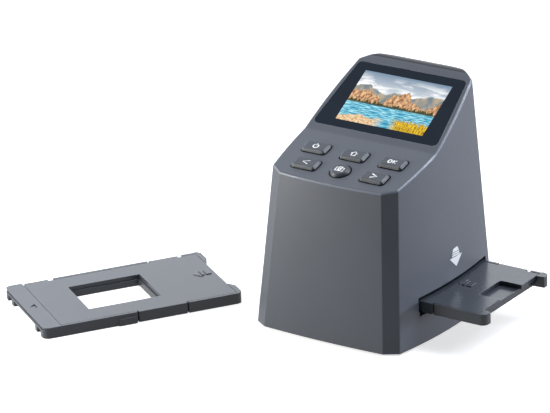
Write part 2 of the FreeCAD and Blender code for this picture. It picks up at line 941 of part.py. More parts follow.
def image_sensor():
    """Return the sensor chip that looks down through the lens."""
    low = sensor_board_z - sensor_thickness
    return centred_block(0, optic_y, low, sensor_board_z, sensor_size, sensor_size)


def sensor_connector():
    """Return the connector between the sensor board and the main board."""
    low = sensor_board_z + board_thickness
    return centred_block(0, optic_y + connector_shift, low, main_board_z, connector_length, connector_width)


# Main board and sockets
def main_board():
    """Return the main circuit board."""
    body = block(
        (-main_half_width, main_front_y, main_board_z),
        (main_half_width, main_rear_y, main_board_top),
    )
    low = main_board_z - cut_overrun
    high = main_board_top + cut_overrun
    holes = [rod(x, y, low, high, small_screw_radius + screw_gap) for x, y in tower_post_places]
    return body.cut(holes)


def main_board_screws():
    """Return the screws that hold the main board to the tower's posts."""
    seat = main_board_top
    length = main_thickness + small_screw_length - screw_gap
    screws = []
    for x, y in tower_post_places:
        screws.append(turned_over(small_screw(x, y, seat, length), seat))
    return Part.makeCompound(screws)


def main_board_chips():
    """Return the processor, the memories and the clock on the main board."""
    chips = []
    kinds = [(place, memory_length, memory_width) for place in memory_place_shares]
    kinds.append((processor_place_shares, processor_size, processor_size))
    kinds.append((clock_place_shares, clock_length, clock_width))
    for (x_share, y_share), width, depth in kinds:
        x = x_share * main_half_width
        y = main_front_y + y_share * (main_rear_y - main_front_y)
        chips.append(centred_block(x, y, main_board_top, main_board_top + chip_height, width, depth))
    return Part.makeCompound(chips)


def card_slot():
    """Return the memory card's socket, open to the back."""
    top = main_board_top + card_height
    body = block(
        (card_x - card_width / 2, socket_mouth_y - card_depth, main_board_top),
        (card_x + card_width / 2, socket_mouth_y, top),
    )
    low = main_board_top + (card_height - card_mouth_height) / 2
    mouth = block(
        (card_x - card_mouth_width / 2, socket_mouth_y - card_mouth_depth, low),
        (card_x + card_mouth_width / 2, socket_mouth_y + cut_overrun, low + card_mouth_height),
    )
    return body.cut(mouth)


def usb_socket():
    """Return the small power and data socket."""
    front = socket_mouth_y - usb_depth
    body = block(
        (usb_x - usb_width / 2, front, main_board_top),
        (usb_x + usb_width / 2, socket_mouth_y, main_board_top + usb_height),
    )
    half = usb_width / 2 - usb_wall
    top = main_board_top + usb_height - usb_wall
    mouth = block(
        (usb_x - half, front + 2 * usb_wall, main_board_top + usb_wall),
        (usb_x + half, socket_mouth_y + cut_overrun, top),
    )
    tongue_low = main_board_top + usb_height / 2
    tongue = block(
        (usb_x - usb_width / 4, front, tongue_low),
        (usb_x + usb_width / 4, socket_mouth_y - usb_wall, tongue_low + usb_wall),
    )
    return joined([body.cut(mouth), tongue])


def video_socket():
    """Return the round video-out socket."""
    front = socket_mouth_y - video_depth
    body = block(
        (video_x - video_body / 2, front, main_board_top),
        (video_x + video_body / 2, socket_mouth_y, main_board_top + video_body),
    )
    centre = V(video_x, front + 2 * usb_wall, main_board_top + video_body / 2)
    bore = Part.makeCylinder(video_bore, video_depth, centre, V(0, 1, 0))
    return body.cut(bore)


# Keys and their board
def key_cap(name):
    """Return one key with its bevelled cap, retaining flange and stem."""
    x, s = key_places[name]
    cap = key_outline(name, key_under - key_flange_height / 2, key_rise, 0)
    cap = cap.makeChamfer(key_bevel, [edge for edge in cap.Edges if edge.BoundBox.ZMin > 0])
    bevel_top = key_rise - key_bevel / 2
    cap = cap.makeFillet(key_top_round, [edge for edge in cap.Edges if edge.BoundBox.ZMin > bevel_top])
    flange = key_outline(name, key_under - key_flange_height, key_under, key_flange)
    stem = rod(x, s, plunger_top, key_under, key_stem_radius)
    return on_slope(joined([cap, flange, stem]), keypad_deg)


def switch_plunger(name):
    """Return the plunger of the switch under one key."""
    x, s = key_places[name]
    return on_slope(rod(x, s, plunger_top - plunger_height, plunger_top, plunger_radius), keypad_deg)


def tact_switches():
    """Return the six switch housings on the button board."""
    switches = []
    low = button_board_top - cut_overrun
    high = switch_top + cut_overrun
    for x, s in key_places.values():
        body = centred_block(x, s, button_board_top, switch_top, switch_size, switch_size)
        bore = rod(x, s, low, high, plunger_radius + plunger_gap)
        switches.append(on_slope(body.cut(bore), keypad_deg))
    return Part.makeCompound(switches)


def button_board():
    """Return the board under the keypad."""
    body = block(
        (-button_board_half_width, button_board_low_s, button_board_low),
        (button_board_half_width, button_board_high_s, button_board_top),
    )
    hole = small_screw_radius + screw_gap
    holes = [
        rod(x, s, button_board_low - cut_overrun, button_board_top + cut_overrun, hole)
        for x, s in button_boss_places
    ]
    return on_slope(body.cut(holes), keypad_deg)


def slope_screws(places, seat, length, angle_deg):
    """Return small screws that come up from under a plate into bosses."""
    screws = []
    for x, s in places:
        screws.append(on_slope(small_screw(x, s, seat, length), angle_deg))
    return Part.makeCompound(screws)


def button_board_screws():
    """Return the screws that hold the button board to its bosses."""
    length = board_thickness + small_screw_length - screw_gap
    return slope_screws(button_boss_places, button_board_low, length, keypad_deg)


def lcd_frame_screws():
    """Return the screws that hold the display's frame to its bosses."""
    length = lcd_frame_thickness + lcd_screw_length - screw_gap
    return slope_screws(lcd_ear_places, lcd_frame_low, length, screen_deg)


# Screen
def screen_window():
    """Return the clear window that covers the screen and its dark border."""
    return on_slope(glass_outline(glass_low, glass_low + glass_thickness, 0), screen_deg)


def lcd_panel():
    """Return the display module behind the window."""
    return on_slope(centred_block(0, view_centre_s, lcd_low, lcd_top, lcd_width, lcd_height), screen_deg)


def lcd_frame():
    """Return the open frame that clamps the display to the housing's bosses."""
    plate = centred_block(0, view_centre_s, lcd_frame_low, lcd_low, lcd_width, lcd_height)
    opening = centred_block(
        0, view_centre_s, lcd_frame_low - cut_overrun, lcd_low + cut_overrun,
        lcd_width - 2 * lcd_frame_rim, lcd_height - 2 * lcd_frame_rim,
    )
    ears = []
    holes = []
    hole = small_screw_radius + screw_gap
    for x, s in lcd_ear_places:
        ears.append(rod(x, s, lcd_frame_low, lcd_low, lcd_ear_radius))
        inner = math.copysign(lcd_width / 2, x)
        ends = sorted((x, inner - math.copysign(lcd_frame_rim / 2, x)))
        low = (ends[0], s - lcd_ear_radius, lcd_frame_low)
        ears.append(block(low, (ends[1], s + lcd_ear_radius, lcd_low)))
        holes.append(rod(x, s, lcd_frame_low - cut_overrun, lcd_low + cut_overrun, hole))
    return on_slope(joined([plate.cut(opening)] + ears).cut(holes), screen_deg)


# Flat cables
def ribbon(points, centre_x, width):
    """Return a flat cable whose middle follows points in a plane of constant x."""
    sides = {1: [], -1: []}
    half = ribbon_thickness / 2
    normals = []
    for a, b in zip(points, points[1:]):
        along = (b - a).normalize()
        normals.append(V(0, -along.z, along.y))
    for side, edges in sides.items():
        start = points[0] + normals[0] * (side * half)
        for index in range(1, len(points) - 1):
            corner = points[index]
            before = (corner - points[index - 1]).normalize()
            after = (points[index + 1] - corner).normalize()
            turn = before.getAngle(after)
            reach = ribbon_bend * math.tan(turn / 2)
            left = 1 if before.y * after.z - before.z * after.y > 0 else -1
            first = corner - before * reach
            last = corner + after * reach
            centre = first + normals[index - 1] * (left * ribbon_bend)
            middle = centre + (corner - centre).normalize() * ribbon_bend
            radial = (middle - centre).normalize() * (-left * side * half)
            arc_start = first + normals[index - 1] * (side * half)
            arc_end = last + normals[index] * (side * half)
            edges.append(Part.LineSegment(start, arc_start).toShape())
            edges.append(Part.Arc(arc_start, middle + radial, arc_end).toShape())
            start = arc_end
        end = points[-1] + normals[-1] * (side * half)
        edges.append(Part.LineSegment(start, end).toShape())
    caps = []
    for point, normal in ((points[0], normals[0]), (points[-1], normals[-1])):
        caps.append(Part.LineSegment(point - normal * half, point + normal * half).toShape())
    wire = Part.Wire(Part.sortEdges(sides[1] + sides[-1] + caps)[0])
    face = Part.Face(wire)
    face.translate(V(centre_x - width / 2, 0, 0))
    return face.extrude(V(width, 0, 0))


def lcd_ribbon():
    """Return the display's cable down to the main board."""
    drop = -lcd_low + ribbon_thickness / 2
    start = slope_point(screen_angle, lcd_ribbon_start_s, drop)
    bend = slope_point(screen_angle, lcd_ribbon_end_s, drop)
    floor = main_board_top + ribbon_thickness / 2
    points = [start, bend, V(0, bend.y, floor), V(0, bend.y - lcd_ribbon_tail, floor)]
    return ribbon(points, lcd_ribbon_x, lcd_ribbon_width)


def button_ribbon():
    """Return the button board's cable down to the main board."""
    drop = -button_board_low + ribbon_thickness / 2
    start = slope_point(keypad_angle, button_ribbon_start_s, drop)
    bend = slope_point(keypad_angle, button_ribbon_end_s, drop)
    floor = main_board_top + ribbon_thickness / 2
    points = [start, bend, V(0, bend.y, floor), V(0, bend.y - button_ribbon_tail, floor)]
    return ribbon(points, button_ribbon_x, button_ribbon_width)


def led_ribbon():
    """Return the light's cable from its box up to the main board's underside."""
    low = led_board_z + board_thickness + ribbon_thickness / 2
    high = main_board_z - ribbon_thickness / 2
    start_y = optic_y - box_half_width + box_wall + led_ribbon_inside
    points = [
        V(0, start_y, low),
        V(0, led_ribbon_front_y, low),
        V(0, led_ribbon_front_y, high),
        V(0, led_ribbon_end_y, high),
    ]
    return ribbon(points, led_ribbon_x, led_ribbon_width)


# Film holders, drawn about their own centre on z = 0 and then placed
def share_u(share):
    """Return the place of a share of the holder's length."""
    return (share - 1 / 2) * holder_length


def holder_outline(low, high):
    """Return the holder's full rounded plate."""
    return rounded_block(0, 0, low, high, holder_length, holder_width, holder_corner)


def end_recess(ear_width, ear_taper, depth, low, high):
    """Return the cut between the two ears at the outer end."""
    end = holder_length / 2
    half = holder_width / 2
    mouth = half - ear_width
    points = [
        (end - depth, -mouth + ear_taper),
        (end, -mouth),
        (end + cut_overrun, -mouth),
        (end + cut_overrun, mouth),
        (end, mouth),
        (end - depth, mouth - ear_taper),
    ]
    return polygon_prism(points, low, high)


def window_cut(step):
    """Return the picture window through a plate, grown by a step."""
    return centred_block(
        window_shift_u, window_shift_v, -cut_overrun, holder_thickness + cut_overrun,
        window_length + 2 * step, window_width + 2 * step,
    )


def hinge_bore(radius):
    """Return the full-length cylinder on the hinge axis."""
    start = V(-holder_length / 2 - cut_overrun, hinge_axis_v, hinge_axis_w)
    return Part.makeCylinder(radius, holder_length + 2 * cut_overrun, start, V(1, 0, 0))


def strip_details():
    """Return the cuts on the solid end strip."""
    end = -holder_length / 2
    hollow = block(
        (end - cut_overrun, -strip_hollow_width / 2, -cut_overrun),
        (end + strip_hollow_length, strip_hollow_width / 2, holder_thickness - strip_plate),
    )
    lugs = []
    for sign in (-1, 1):
        lugs.append(centred_block(
            end + strip_hollow_length / 2, sign * strip_lug_shift, 0, holder_thickness,
            strip_hollow_length, strip_lug_width,
        ))
    hollow = hollow.cut(lugs)
    groove_half = holder_width / 2 - strip_groove_margin
    groove = block(
        (end - cut_overrun, -groove_half, strip_groove_low),
        (end + strip_groove_depth, groove_half, strip_groove_low + strip_groove_height),
    )
    top = holder_thickness + cut_overrun
    low = holder_thickness - strip_mark_depth
    half = strip_mark_width / 2
    peak = V(end + strip_mark_peak_u, strip_mark_peak_v, 0)
    long_side = block((-half, -strip_mark_long, low), (half, half, top))
    short_side = block((-half, -strip_mark_short, low), (half, half, top))
    short_side.rotate(V(0, 0, 0), V(0, 0, 1), -strip_mark_turn_deg)
    long_side.translate(peak)
    short_side.translate(peak)
    return [hollow, groove, long_side.fuse(short_side)]


def hinge_rim_bevels(end):
    """Return the cuts that bevel the hinge rim so that the lid can swing past it."""
    half = holder_width / 2
    top = holder_thickness
    bevel = hinge_rim_chamfer
    cuts = []
    for edge, inward in ((half, -1), (half - hinge_rim, 1)):
        outside = edge - inward * bevel
        corners = [
            V(lid_start_u, outside, top - 2 * bevel),
            V(lid_start_u, outside, top + bevel),
            V(lid_start_u, edge + inward * 2 * bevel, top + bevel),
        ]
        wire = Part.makePolygon(corners + corners[:1])
        cuts.append(Part.Face(wire).extrude(V(end - lid_start_u, 0, 0)))
    return cuts


def holder_base(ear_width, ear_taper, recess, base_recess):
    """Return the lower plate with rims, ears, end strip and hinge rim."""
    end = holder_length / 2
    half = holder_width / 2
    floor_top = holder_thickness - lid_thickness
    body = holder_outline(0, holder_thickness)
    lug_start = share_u(thumb_lug_shares[0])
    lug_end = share_u(thumb_lug_shares[1])
    lug = block((lug_start, -half - thumb_lug_reach, 0), (lug_end, -half + rim_width, thumb_lug_height))
    body = joined([body, lug])
    pocket = block(
        (lid_start_u, -half + rim_width, floor_top),
        (end - recess, half - hinge_rim, holder_thickness + cut_overrun),
    )
    above = holder_thickness + cut_overrun
    mouth = end_recess(ear_width, ear_taper, base_recess, -cut_overrun, above)
    cuts = [pocket, mouth, window_cut(0), hinge_bore(hinge_pin_radius + screw_gap)]
    cuts.extend(hinge_rim_bevels(end - recess))
    for start, stop in hinge_notch_shares:
        cuts.append(block(
            (share_u(start), half - hinge_rim - hinge_plate_gap, hinge_notch_floor),
            (share_u(stop), half + cut_overrun, above),
        ))
    cuts.append(block(
        (share_u(latch_shares[0]), -half - cut_overrun, -cut_overrun),
        (share_u(latch_shares[1]), -half + rim_width + lid_gap, holder_thickness + cut_overrun),
    ))
    cuts.extend(strip_details())
    return body.cut(cuts).removeSplitter()


def holder_lid(recess, finger_cut):
    """Return the hinged upper plate with its latch skirt and hinge tabs."""
    end = holder_length / 2
    half = holder_width / 2
    top = holder_thickness
    plate = block(
        (lid_start_u + lid_gap, -half + rim_width + lid_gap, lid_low),
        (end - recess - lid_gap, half - hinge_rim - hinge_plate_gap, top),
    )
    skirt_low = share_u(latch_shares[0]) + latch_gap
    skirt_high = share_u(latch_shares[1]) - latch_gap
    skirt = block((skirt_low, -half, 0), (skirt_high, -half + rim_width, top))
    bridge = block((skirt_low, -half, lid_low), (skirt_high, -half + rim_width + 2 * lid_gap, top))
    shapes = [plate, skirt, bridge]
    for start, stop in hinge_tab_shares:
        length = share_u(stop) - share_u(start)
        origin = V(share_u(start), hinge_axis_v, hinge_axis_w)
        barrel = Part.makeCylinder(hinge_rim / 2, length, origin, V(1, 0, 0))
        web = block(
            (share_u(start), half - hinge_rim - 2 * hinge_plate_gap, lid_low),
            (share_u(stop), hinge_axis_v, top),
        )
        shapes.extend([barrel, web])
    cuts = [window_cut(window_step), hinge_bore(hinge_pin_radius + hinge_pin_gap)]
    if finger_cut:
        depth = 2 * finger_cut_depth
        above = top + cut_overrun
        width = finger_cut_width
        shift = finger_cut_shift
        cuts.append(rounded_block(end, shift, -cut_overrun, above, depth, width, finger_cut_corner))
    return joined(shapes).cut(cuts)


def holder_pins():
    """Return the two hinge pins."""
    pins = []
    for start, stop in hinge_notch_shares:
        low = share_u(start) - hinge_rim
        low = max(low, -holder_length / 2 + hinge_rim / 2)
        high = min(share_u(stop) + hinge_rim, holder_length / 2 - hinge_rim / 2)
        origin = V(low, hinge_axis_v, hinge_axis_w)
        pins.append(Part.makeCylinder(hinge_pin_radius, high - low, origin, V(1, 0, 0)))
    return Part.makeCompound(pins)


def in_slot(shape):
    """Move a holder piece into the scanner's channel."""
    placed = shape.copy()
    placed.translate(V(holder_outer_end_x - holder_length / 2, optic_y, slot_holder_z))
    return placed


def beside(shape):
    """Lay a holder piece on the table to the scanner's left."""
    placed = shape.copy()
    placed.rotate(V(0, 0, 0), V(0, 0, 1), loose_yaw_deg)
    placed.translate(V(loose_centre_x, loose_centre_y, 0))
    return placed


def main():
    """Build every piece and write its file."""
    os.makedirs("parts", exist_ok=True)
    save("upper_housing", upper_housing())
    save("bottom_cover", bottom_cover())
    save("rubber_feet", rubber_feet())
    save("base_screws", base_screws())
    save("screen_window", screen_window())
    save("lcd_panel", lcd_panel())
    save("lcd_frame", lcd_frame())
    save("lcd_frame_screws", lcd_frame_screws())
    save("lcd_ribbon", lcd_ribbon())
    save("button_board", button_board())
    save("button_board_screws", button_board_screws())
    save("tact_switches", tact_switches())
    save("button_ribbon", button_ribbon())
    save("main_board", main_board())
    save("main_board_screws", main_board_screws())
    save("main_board_chips", main_board_chips())
    save("card_slot", card_slot())
    save("usb_socket", usb_socket())
    save("video_socket", video_socket())
    save("sensor_connector", sensor_connector())
    save("camera_tower", camera_tower())
    save("tower_screws", tower_screws())
    save("sensor_board", sensor_board())
    save("image_sensor", image_sensor())
    save("lens_holder", lens_holder())
    save("lens_barrel", lens_barrel())
    save("lens_elements", lens_elements())
    save("upper_film_guide", upper_film_guide())
    save("lower_film_guide", lower_film_guide())
    save("guide_screws", guide_screws())
    save("detent_spring", detent_spring())
    save("light_box", light_box())
    save("diffuser", diffuser())
    save("led_board", led_board())
    save("leds", leds())
    save("led_ribbon", led_ribbon())
    for name in key_places:
        save("key_" + name, key_cap(name))
        save("plunger_" + name, switch_plunger(name))
    slot_base = holder_base(slot_ear_width, slot_ear_taper, slot_end_recess, slot_base_recess)
    slot_lid = holder_lid(slot_end_recess, True)
    save("slot_holder_base", in_slot(slot_base))
    save("slot_holder_lid", in_slot(slot_lid))
    save("slot_holder_pins", in_slot(holder_pins()))
    loose_base = holder_base(loose_ear_width, loose_ear_taper, loose_end_recess, loose_end_recess)
    loose_lid = holder_lid(loose_end_recess, False)
    save("loose_holder_base", beside(loose_base))
    save("loose_holder_lid", beside(loose_lid))
    save("loose_holder_pins", beside(holder_pins()))


if __name__ == "__main__":
    main()
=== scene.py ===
"""A table-top film scanner with its two film holders, dressed for a studio portrait."""
import json
import logging
import math
from dataclasses import dataclass, field
from enum import Enum

import bmesh
import bpy
from mathutils import Matrix, Vector
from mathutils.bvhtree import BVHTree


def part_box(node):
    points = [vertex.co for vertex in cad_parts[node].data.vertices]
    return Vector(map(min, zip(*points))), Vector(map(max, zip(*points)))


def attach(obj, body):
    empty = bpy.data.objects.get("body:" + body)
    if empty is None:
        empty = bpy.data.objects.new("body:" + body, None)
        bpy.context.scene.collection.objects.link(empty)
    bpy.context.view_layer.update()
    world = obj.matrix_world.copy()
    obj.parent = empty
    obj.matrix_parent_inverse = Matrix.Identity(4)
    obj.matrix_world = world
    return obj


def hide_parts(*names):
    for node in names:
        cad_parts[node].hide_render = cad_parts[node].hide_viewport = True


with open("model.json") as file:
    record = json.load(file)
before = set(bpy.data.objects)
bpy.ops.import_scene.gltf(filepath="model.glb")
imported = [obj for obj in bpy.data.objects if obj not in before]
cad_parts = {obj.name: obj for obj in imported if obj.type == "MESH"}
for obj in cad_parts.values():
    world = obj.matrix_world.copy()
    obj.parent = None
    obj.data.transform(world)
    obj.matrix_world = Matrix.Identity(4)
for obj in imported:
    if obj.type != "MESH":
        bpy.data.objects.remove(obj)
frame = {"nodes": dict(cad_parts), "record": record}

MM = 0.001
ACRYLIC_IOR = 1.49
log = logging.getLogger("film_scanner")

Point = tuple[float, float]
Triple = tuple[float, float, float]
Colour = tuple[float, float, float, float]
Strokes = list[tuple[list[Point], bool]]
Material = bpy.types.Material
Mesh = bmesh.types.BMesh
Node = bpy.types.Node
Socket = bpy.types.NodeSocket
Tree = bpy.types.NodeTree


def to_linear(colour: str, share: float = 1.0) -> Colour:
    """Turn a hex sRGB colour into linear light.

    Args:
        colour: Six hex digits with a leading hash.
        share: How much brighter or darker the colour is made.

    Returns:
        Red, green, blue and an alpha of one.
    """
    channels = []
    for start in (1, 3, 5):
        value = int(colour[start:start + 2], 16) / 255
        light = value / 12.92 if value <= 0.04045 else ((value + 0.055) / 1.055) ** 2.4
        channels.append(min(1.0, light * share))
    return channels[0], channels[1], channels[2], 1.0


def per_mm(size: float) -> float:
    """Give a texture's scale from the real size of its pattern in millimetres."""
    return 1 / (size * MM)


def add_node(tree: Tree, kind: str, inputs: dict[str | int, object] | None = None,
             **settings: object) -> Node:
    """Add one shader node with its settings, its constants and its links.

    Args:
        tree: The node tree that gets the node.
        kind: The node's type name, without the ShaderNode that they all begin with.
        inputs: What each live input gets, by its name or number: a constant, or the node
            or output that feeds it.
        settings: The node's own options.

    Returns:
        The new node.
    """
    node = tree.nodes.new("ShaderNode" + kind)
    for name, value in settings.items():
        setattr(node, name, value)
    live = [entry for entry in node.inputs if entry.enabled]
    for key, source in (inputs or {}).items():
        named = [entry for entry in live if entry.name == key]
        socket = live[key] if isinstance(key, int) else named[0]
        if isinstance(source, Node):
            source = next(output for output in source.outputs if output.enabled)
        if isinstance(source, Socket):
            tree.links.new(source, socket)
        else:
            socket.default_value = source
    return node


@dataclass(frozen=True)
class Patches:
    """Uneven patches over a surface, by the real size of their lumps.

    The cover is the noise level where a patch begins and the one where it is full.
    """

    size_mm: float
    cover: Point = (0.3, 0.7)
    detail: float = 2.0

    def spread(self, tree: Tree, place: Socket, ends: Point = (0.0, 1.0)) -> Node:
        """Lay the patches over the surface.

        Args:
            tree: The material's node tree.
            place: The object's coordinates.
            ends: The values outside the patches and in the middle of them.

        Returns:
            The value at each point.
        """
        noise = add_node(tree, "TexNoise", {
            "Vector": place, "Scale": per_mm(self.size_mm), "Detail": self.detail})
        return add_node(tree, "MapRange", {
            0: noise, 1: self.cover[0], 2: self.cover[1], 3: ends[0], 4: ends[1]})


@dataclass(frozen=True)
class Slope:
    """A sloping face of the housing's top, by its foot line and its angle."""

    angle_deg: float
    foot_y_mm: float = 0.9
    foot_z_mm: float = 85.3

    def matrix(self) -> Matrix:
        """Give the move from across, up-slope and outward to the row frame, in metres."""
        turn = Matrix.Rotation(math.radians(self.angle_deg), 4, "X")
        return Matrix.Translation((0, self.foot_y_mm * MM, self.foot_z_mm * MM)) @ turn

    def extent(self, node: str) -> tuple[Vector, Vector]:
        """Measure a node's corners in the slope's own frame.

        Args:
            node: The name of the node.

        Returns:
            Its lowest and its highest corner, in metres.
        """
        back = self.matrix().inverted()
        points = [back @ vertex.co for vertex in frame["nodes"][node].data.vertices]
        low = Vector(min(point[axis] for point in points) for axis in range(3))
        high = Vector(max(point[axis] for point in points) for axis in range(3))
        return low, high

    def from_foot(self, tree: Tree, place: Socket) -> Node:
        """Count a material's coordinates from the slope's foot line."""
        foot = (0.0, self.foot_y_mm * MM, self.foot_z_mm * MM)
        return add_node(tree, "VectorMath", {0: place, 1: foot}, operation="SUBTRACT")

    def height(self, tree: Tree, place: Socket) -> Socket:
        """Measure how far each point of a surface stands over the slope.

        Args:
            tree: The material's node tree.
            place: The object's coordinates.

        Returns:
            The height in metres.
        """
        turn = math.radians(self.angle_deg)
        outward = (0.0, -math.sin(turn), math.cos(turn))
        return add_node(tree, "VectorMath", {0: self.from_foot(tree, place), 1: outward},
                        operation="DOT_PRODUCT").outputs["Value"]


@dataclass(frozen=True)
class Finish:
    """One real material and the way its surface was made."""

    name: str

    def start(self) -> tuple[Material, Tree, Socket]:
        """Make an empty material.

        Returns:
            The material, its node tree and the object's coordinates.
        """
        material = bpy.data.materials.new(self.name)
        material.use_nodes = True
        material.node_tree.nodes.clear()
        place = add_node(material.node_tree, "TexCoord").outputs["Object"]
        return material, material.node_tree, place

    def close(self, material: Material, shader: Node) -> Material:
        """Give the material its surface, and hand the material back."""
        add_node(material.node_tree, "OutputMaterial", {"Surface": shader})
        return material


@dataclass(frozen=True)
class TopRim:
    """Where the housing's top meets its walls, and the pockets that the keys stand in."""

    slopes: tuple[Slope, Slope]
    band_mm: Point = (0.1, 0.8)
    upper_blur: Point = (0.5, 1.5)
    lower_blur: Point = (1.25, 0.85)
    keys_half_mm: float = 28.9
    keys_front_mm: float = -29.2
    roof_front_mm: float = 41.0

    def masks(self, tree: Tree, place: Socket) -> tuple[Node, Node]:
        """Mark the rim and the pockets by their depth under the two slopes.

        Args:
            tree: The material's node tree.
            place: The object's coordinates.

        Returns:
            One on the rim, for a painted highlight, and one in the pockets, for a painted shade.
        """
        levels = [slope.height(tree, place) for slope in self.slopes]
        level = add_node(tree, "Math", {0: levels[0], 1: levels[1]}, operation="MINIMUM")
        upper, lower = (-edge * MM for edge in self.band_mm)
        under = add_node(tree, "MapRange", {
            0: level, 1: upper * self.upper_blur[0], 2: upper * self.upper_blur[1]})
        above = add_node(tree, "MapRange", {
            0: level, 1: lower * self.lower_blur[0], 2: lower * self.lower_blur[1]})
        axes = add_node(tree, "SeparateXYZ", {0: place}).outputs
        off_middle = add_node(tree, "Math", {0: axes[0]}, operation="ABSOLUTE")
        beside = add_node(tree, "Math", {0: off_middle, 1: self.keys_half_mm * MM},
                          operation="GREATER_THAN")
        ahead = add_node(tree, "Math", {0: axes[1], 1: self.keys_front_mm * MM},
                         operation="LESS_THAN")
        outside = add_node(tree, "Math", {0: beside, 1: ahead}, operation="MAXIMUM")
        low = add_node(tree, "Math", {0: axes[1], 1: self.roof_front_mm * MM},
                       operation="LESS_THAN")
        around = add_node(tree, "Math", {0: outside, 1: low}, operation="MULTIPLY")
        band = add_node(tree, "Math", {0: under, 1: above}, operation="MULTIPLY")
        rim = add_node(tree, "Math", {0: band, 1: around}, operation="MULTIPLY")
        pockets = add_node(tree, "Math", {0: under, 1: outside}, operation="SUBTRACT",
                           use_clamp=True)
        return rim, pockets


@dataclass(frozen=True)
class MouldedPlastic(Finish):
    """Injection-moulded plastic with a fine spark-eroded grain.

    The grain breaks reflections into a satin sheen, uneven packing of the melt leaves broad
    faint shades, and the corners, which the mould rounds, are glossier and lightened in colour
    as a painted highlight; a given top rim gets the same painted highlight, and its key
    pockets a painted shade.
    Where a foot slope is given, the lower sides of what stands on it get a painted shade,
    darker towards the foot.
    """

    colour: str
    roughness: float = 0.42
    roughness_spread: float = 0.03
    # Real grain is about 0.05 mm, too fine to show, so it is drawn at 0.3 mm.
    grain_mm: float = 0.3
    grain_depth_mm: float = 0.01
    grain_harshness: float = 0.6
    patch_grains: float = 6
    flow: Patches = Patches(38.0)
    flow_share: float = 0.05
    edge_mm: float = 0.0
    # Share of the colour on the corners: lighter, as a painted highlight.
    painted_edge_highlight: float = 1.5
    edge_roughness: float = 0.18
    edge_cosines: Point = (0.99, 0.85)
    rim: TopRim | None = None
    # Share of the colour on the rim: lighter, as a painted highlight; the rim is also glossier.
    painted_rim_highlight: float = 2.3
    foot: Slope | None = None
    foot_mm: Point = (1.0, 0.3)
    # Share of the colour in the key pockets and at the foot: darker, as a painted shade.
    painted_shade_share: float = 0.25
    ior: float = 1.53

    def marks(self, tree: Tree, place: Socket,
              rounded: Node | None) -> list[tuple[Node, float, bool]]:
        """Mark the places that differ: the corners and the rim, glossier with a painted highlight, and the
        pockets and the foot, with a painted shade.

        Args:
            tree: The material's node tree.
            place: The object's coordinates.
            rounded: The surface's direction, smoothed over its corners, if it has any.

        Returns:
            Each mask with its share of the plastic's colour, lighter for a painted highlight and
            darker for a painted shade, and whether it is polished.
        """
        found = []
        if rounded:
            # The corners, where the smoothed direction leaves the true one, get a painted highlight.
            flat = add_node(tree, "NewGeometry").outputs["True Normal"]
            bend = add_node(tree, "VectorMath", {0: rounded, 1: flat}, operation="DOT_PRODUCT")
            corners = add_node(tree, "MapRange", {
                0: bend.outputs["Value"], 1: self.edge_cosines[0], 2: self.edge_cosines[1]})
            found.append((corners, self.painted_edge_highlight, True))
        if self.rim:
            # The rim gets a painted highlight and the key pockets a painted shade.
            rim, pockets = self.rim.masks(tree, place)
            found += [(rim, self.painted_rim_highlight, True), (pockets, self.painted_shade_share, False)]
        if self.foot:
            # Points low over the foot slope get a painted shade, darker towards the foot.
            level = self.foot.height(tree, place)
            low = add_node(tree, "MapRange", {
                0: level, 1: self.foot_mm[0] * MM, 2: self.foot_mm[1] * MM})
            found.append((low, self.painted_shade_share, False))
        return found

    def build(self) -> Material:
        """Build the material: flow shades, glossy corners with a painted highlight, painted shade, grain
        and uneven gloss.

        Returns:
            The material.
        """
        material, tree, place = self.start()
        colour = add_node(tree, "Mix", {
            "Factor": self.flow.spread(tree, place),
            "A": to_linear(self.colour, 1 - self.flow_share),
            "B": to_linear(self.colour, 1 + self.flow_share)}, data_type="RGBA")
        grain = add_node(tree, "TexNoise", {
            "Vector": place, "Scale": per_mm(self.grain_mm), "Roughness": self.grain_harshness})
        gloss = Patches(self.grain_mm * self.patch_grains, detail=3.0).spread(
            tree, place, (self.roughness - self.roughness_spread,
                          self.roughness + self.roughness_spread))
        relief = {"Height": grain, "Distance": self.grain_depth_mm * MM}
        rounded = None
        if self.edge_mm:
            rounded = add_node(tree, "Bevel", {"Radius": self.edge_mm * MM}, samples=6)
            relief["Normal"] = rounded
        # Each mask mixes in a scaled colour, lighter as a painted highlight or darker as a painted shade;
        # polished marks also get a lower roughness.
        for mask, share, polished in self.marks(tree, place, rounded):
            colour = add_node(tree, "Mix", {
                "Factor": mask, "A": colour, "B": to_linear(self.colour, share)}, data_type="RGBA")
            if polished:
                gloss = add_node(tree, "Mix", {
                    "Factor": mask, "A": gloss, "B": self.edge_roughness})
        return self.close(material, add_node(tree, "BsdfPrincipled", {
            "Base Color": colour, "Roughness": gloss, "IOR": self.ior,
            "Normal": add_node(tree, "Bump", relief)}))


@dataclass(frozen=True)
class BackPrintedAcrylic(Finish):
    """Hard-coated clear acrylic, printed dark on its back.

    The print gives a deep, even dark, and the coat a sharp reflection that finger grease
    softens in patches.
    """

    colour: str
    roughness: float = 0.09
    smear_shades: Patches = Patches(14.0, (0.35, 0.65), 4.0)
    smear_gloss: Patches = Patches(14.0, (0.35, 0.7), 4.0)
    smear_shine: float = 1.12
    smear_roughness: float = 0.03

    def build(self) -> Material:
        """Build the material: a deep print under a faintly smeared glossy face.

        Returns:
            The material.
        """
        material, tree, place = self.start()
        colour = add_node(tree, "Mix", {
            "Factor": self.smear_shades.spread(tree, place), "A": to_linear(self.colour),
            "B": to_linear(self.colour, self.smear_shine)}, data_type="RGBA")
        gloss = self.smear_gloss.spread(
            tree, place, (self.roughness, self.roughness + self.smear_roughness))
        return self.close(material, add_node(tree, "BsdfPrincipled", {
            "Base Color": colour, "Roughness": gloss, "IOR": ACRYLIC_IOR}))


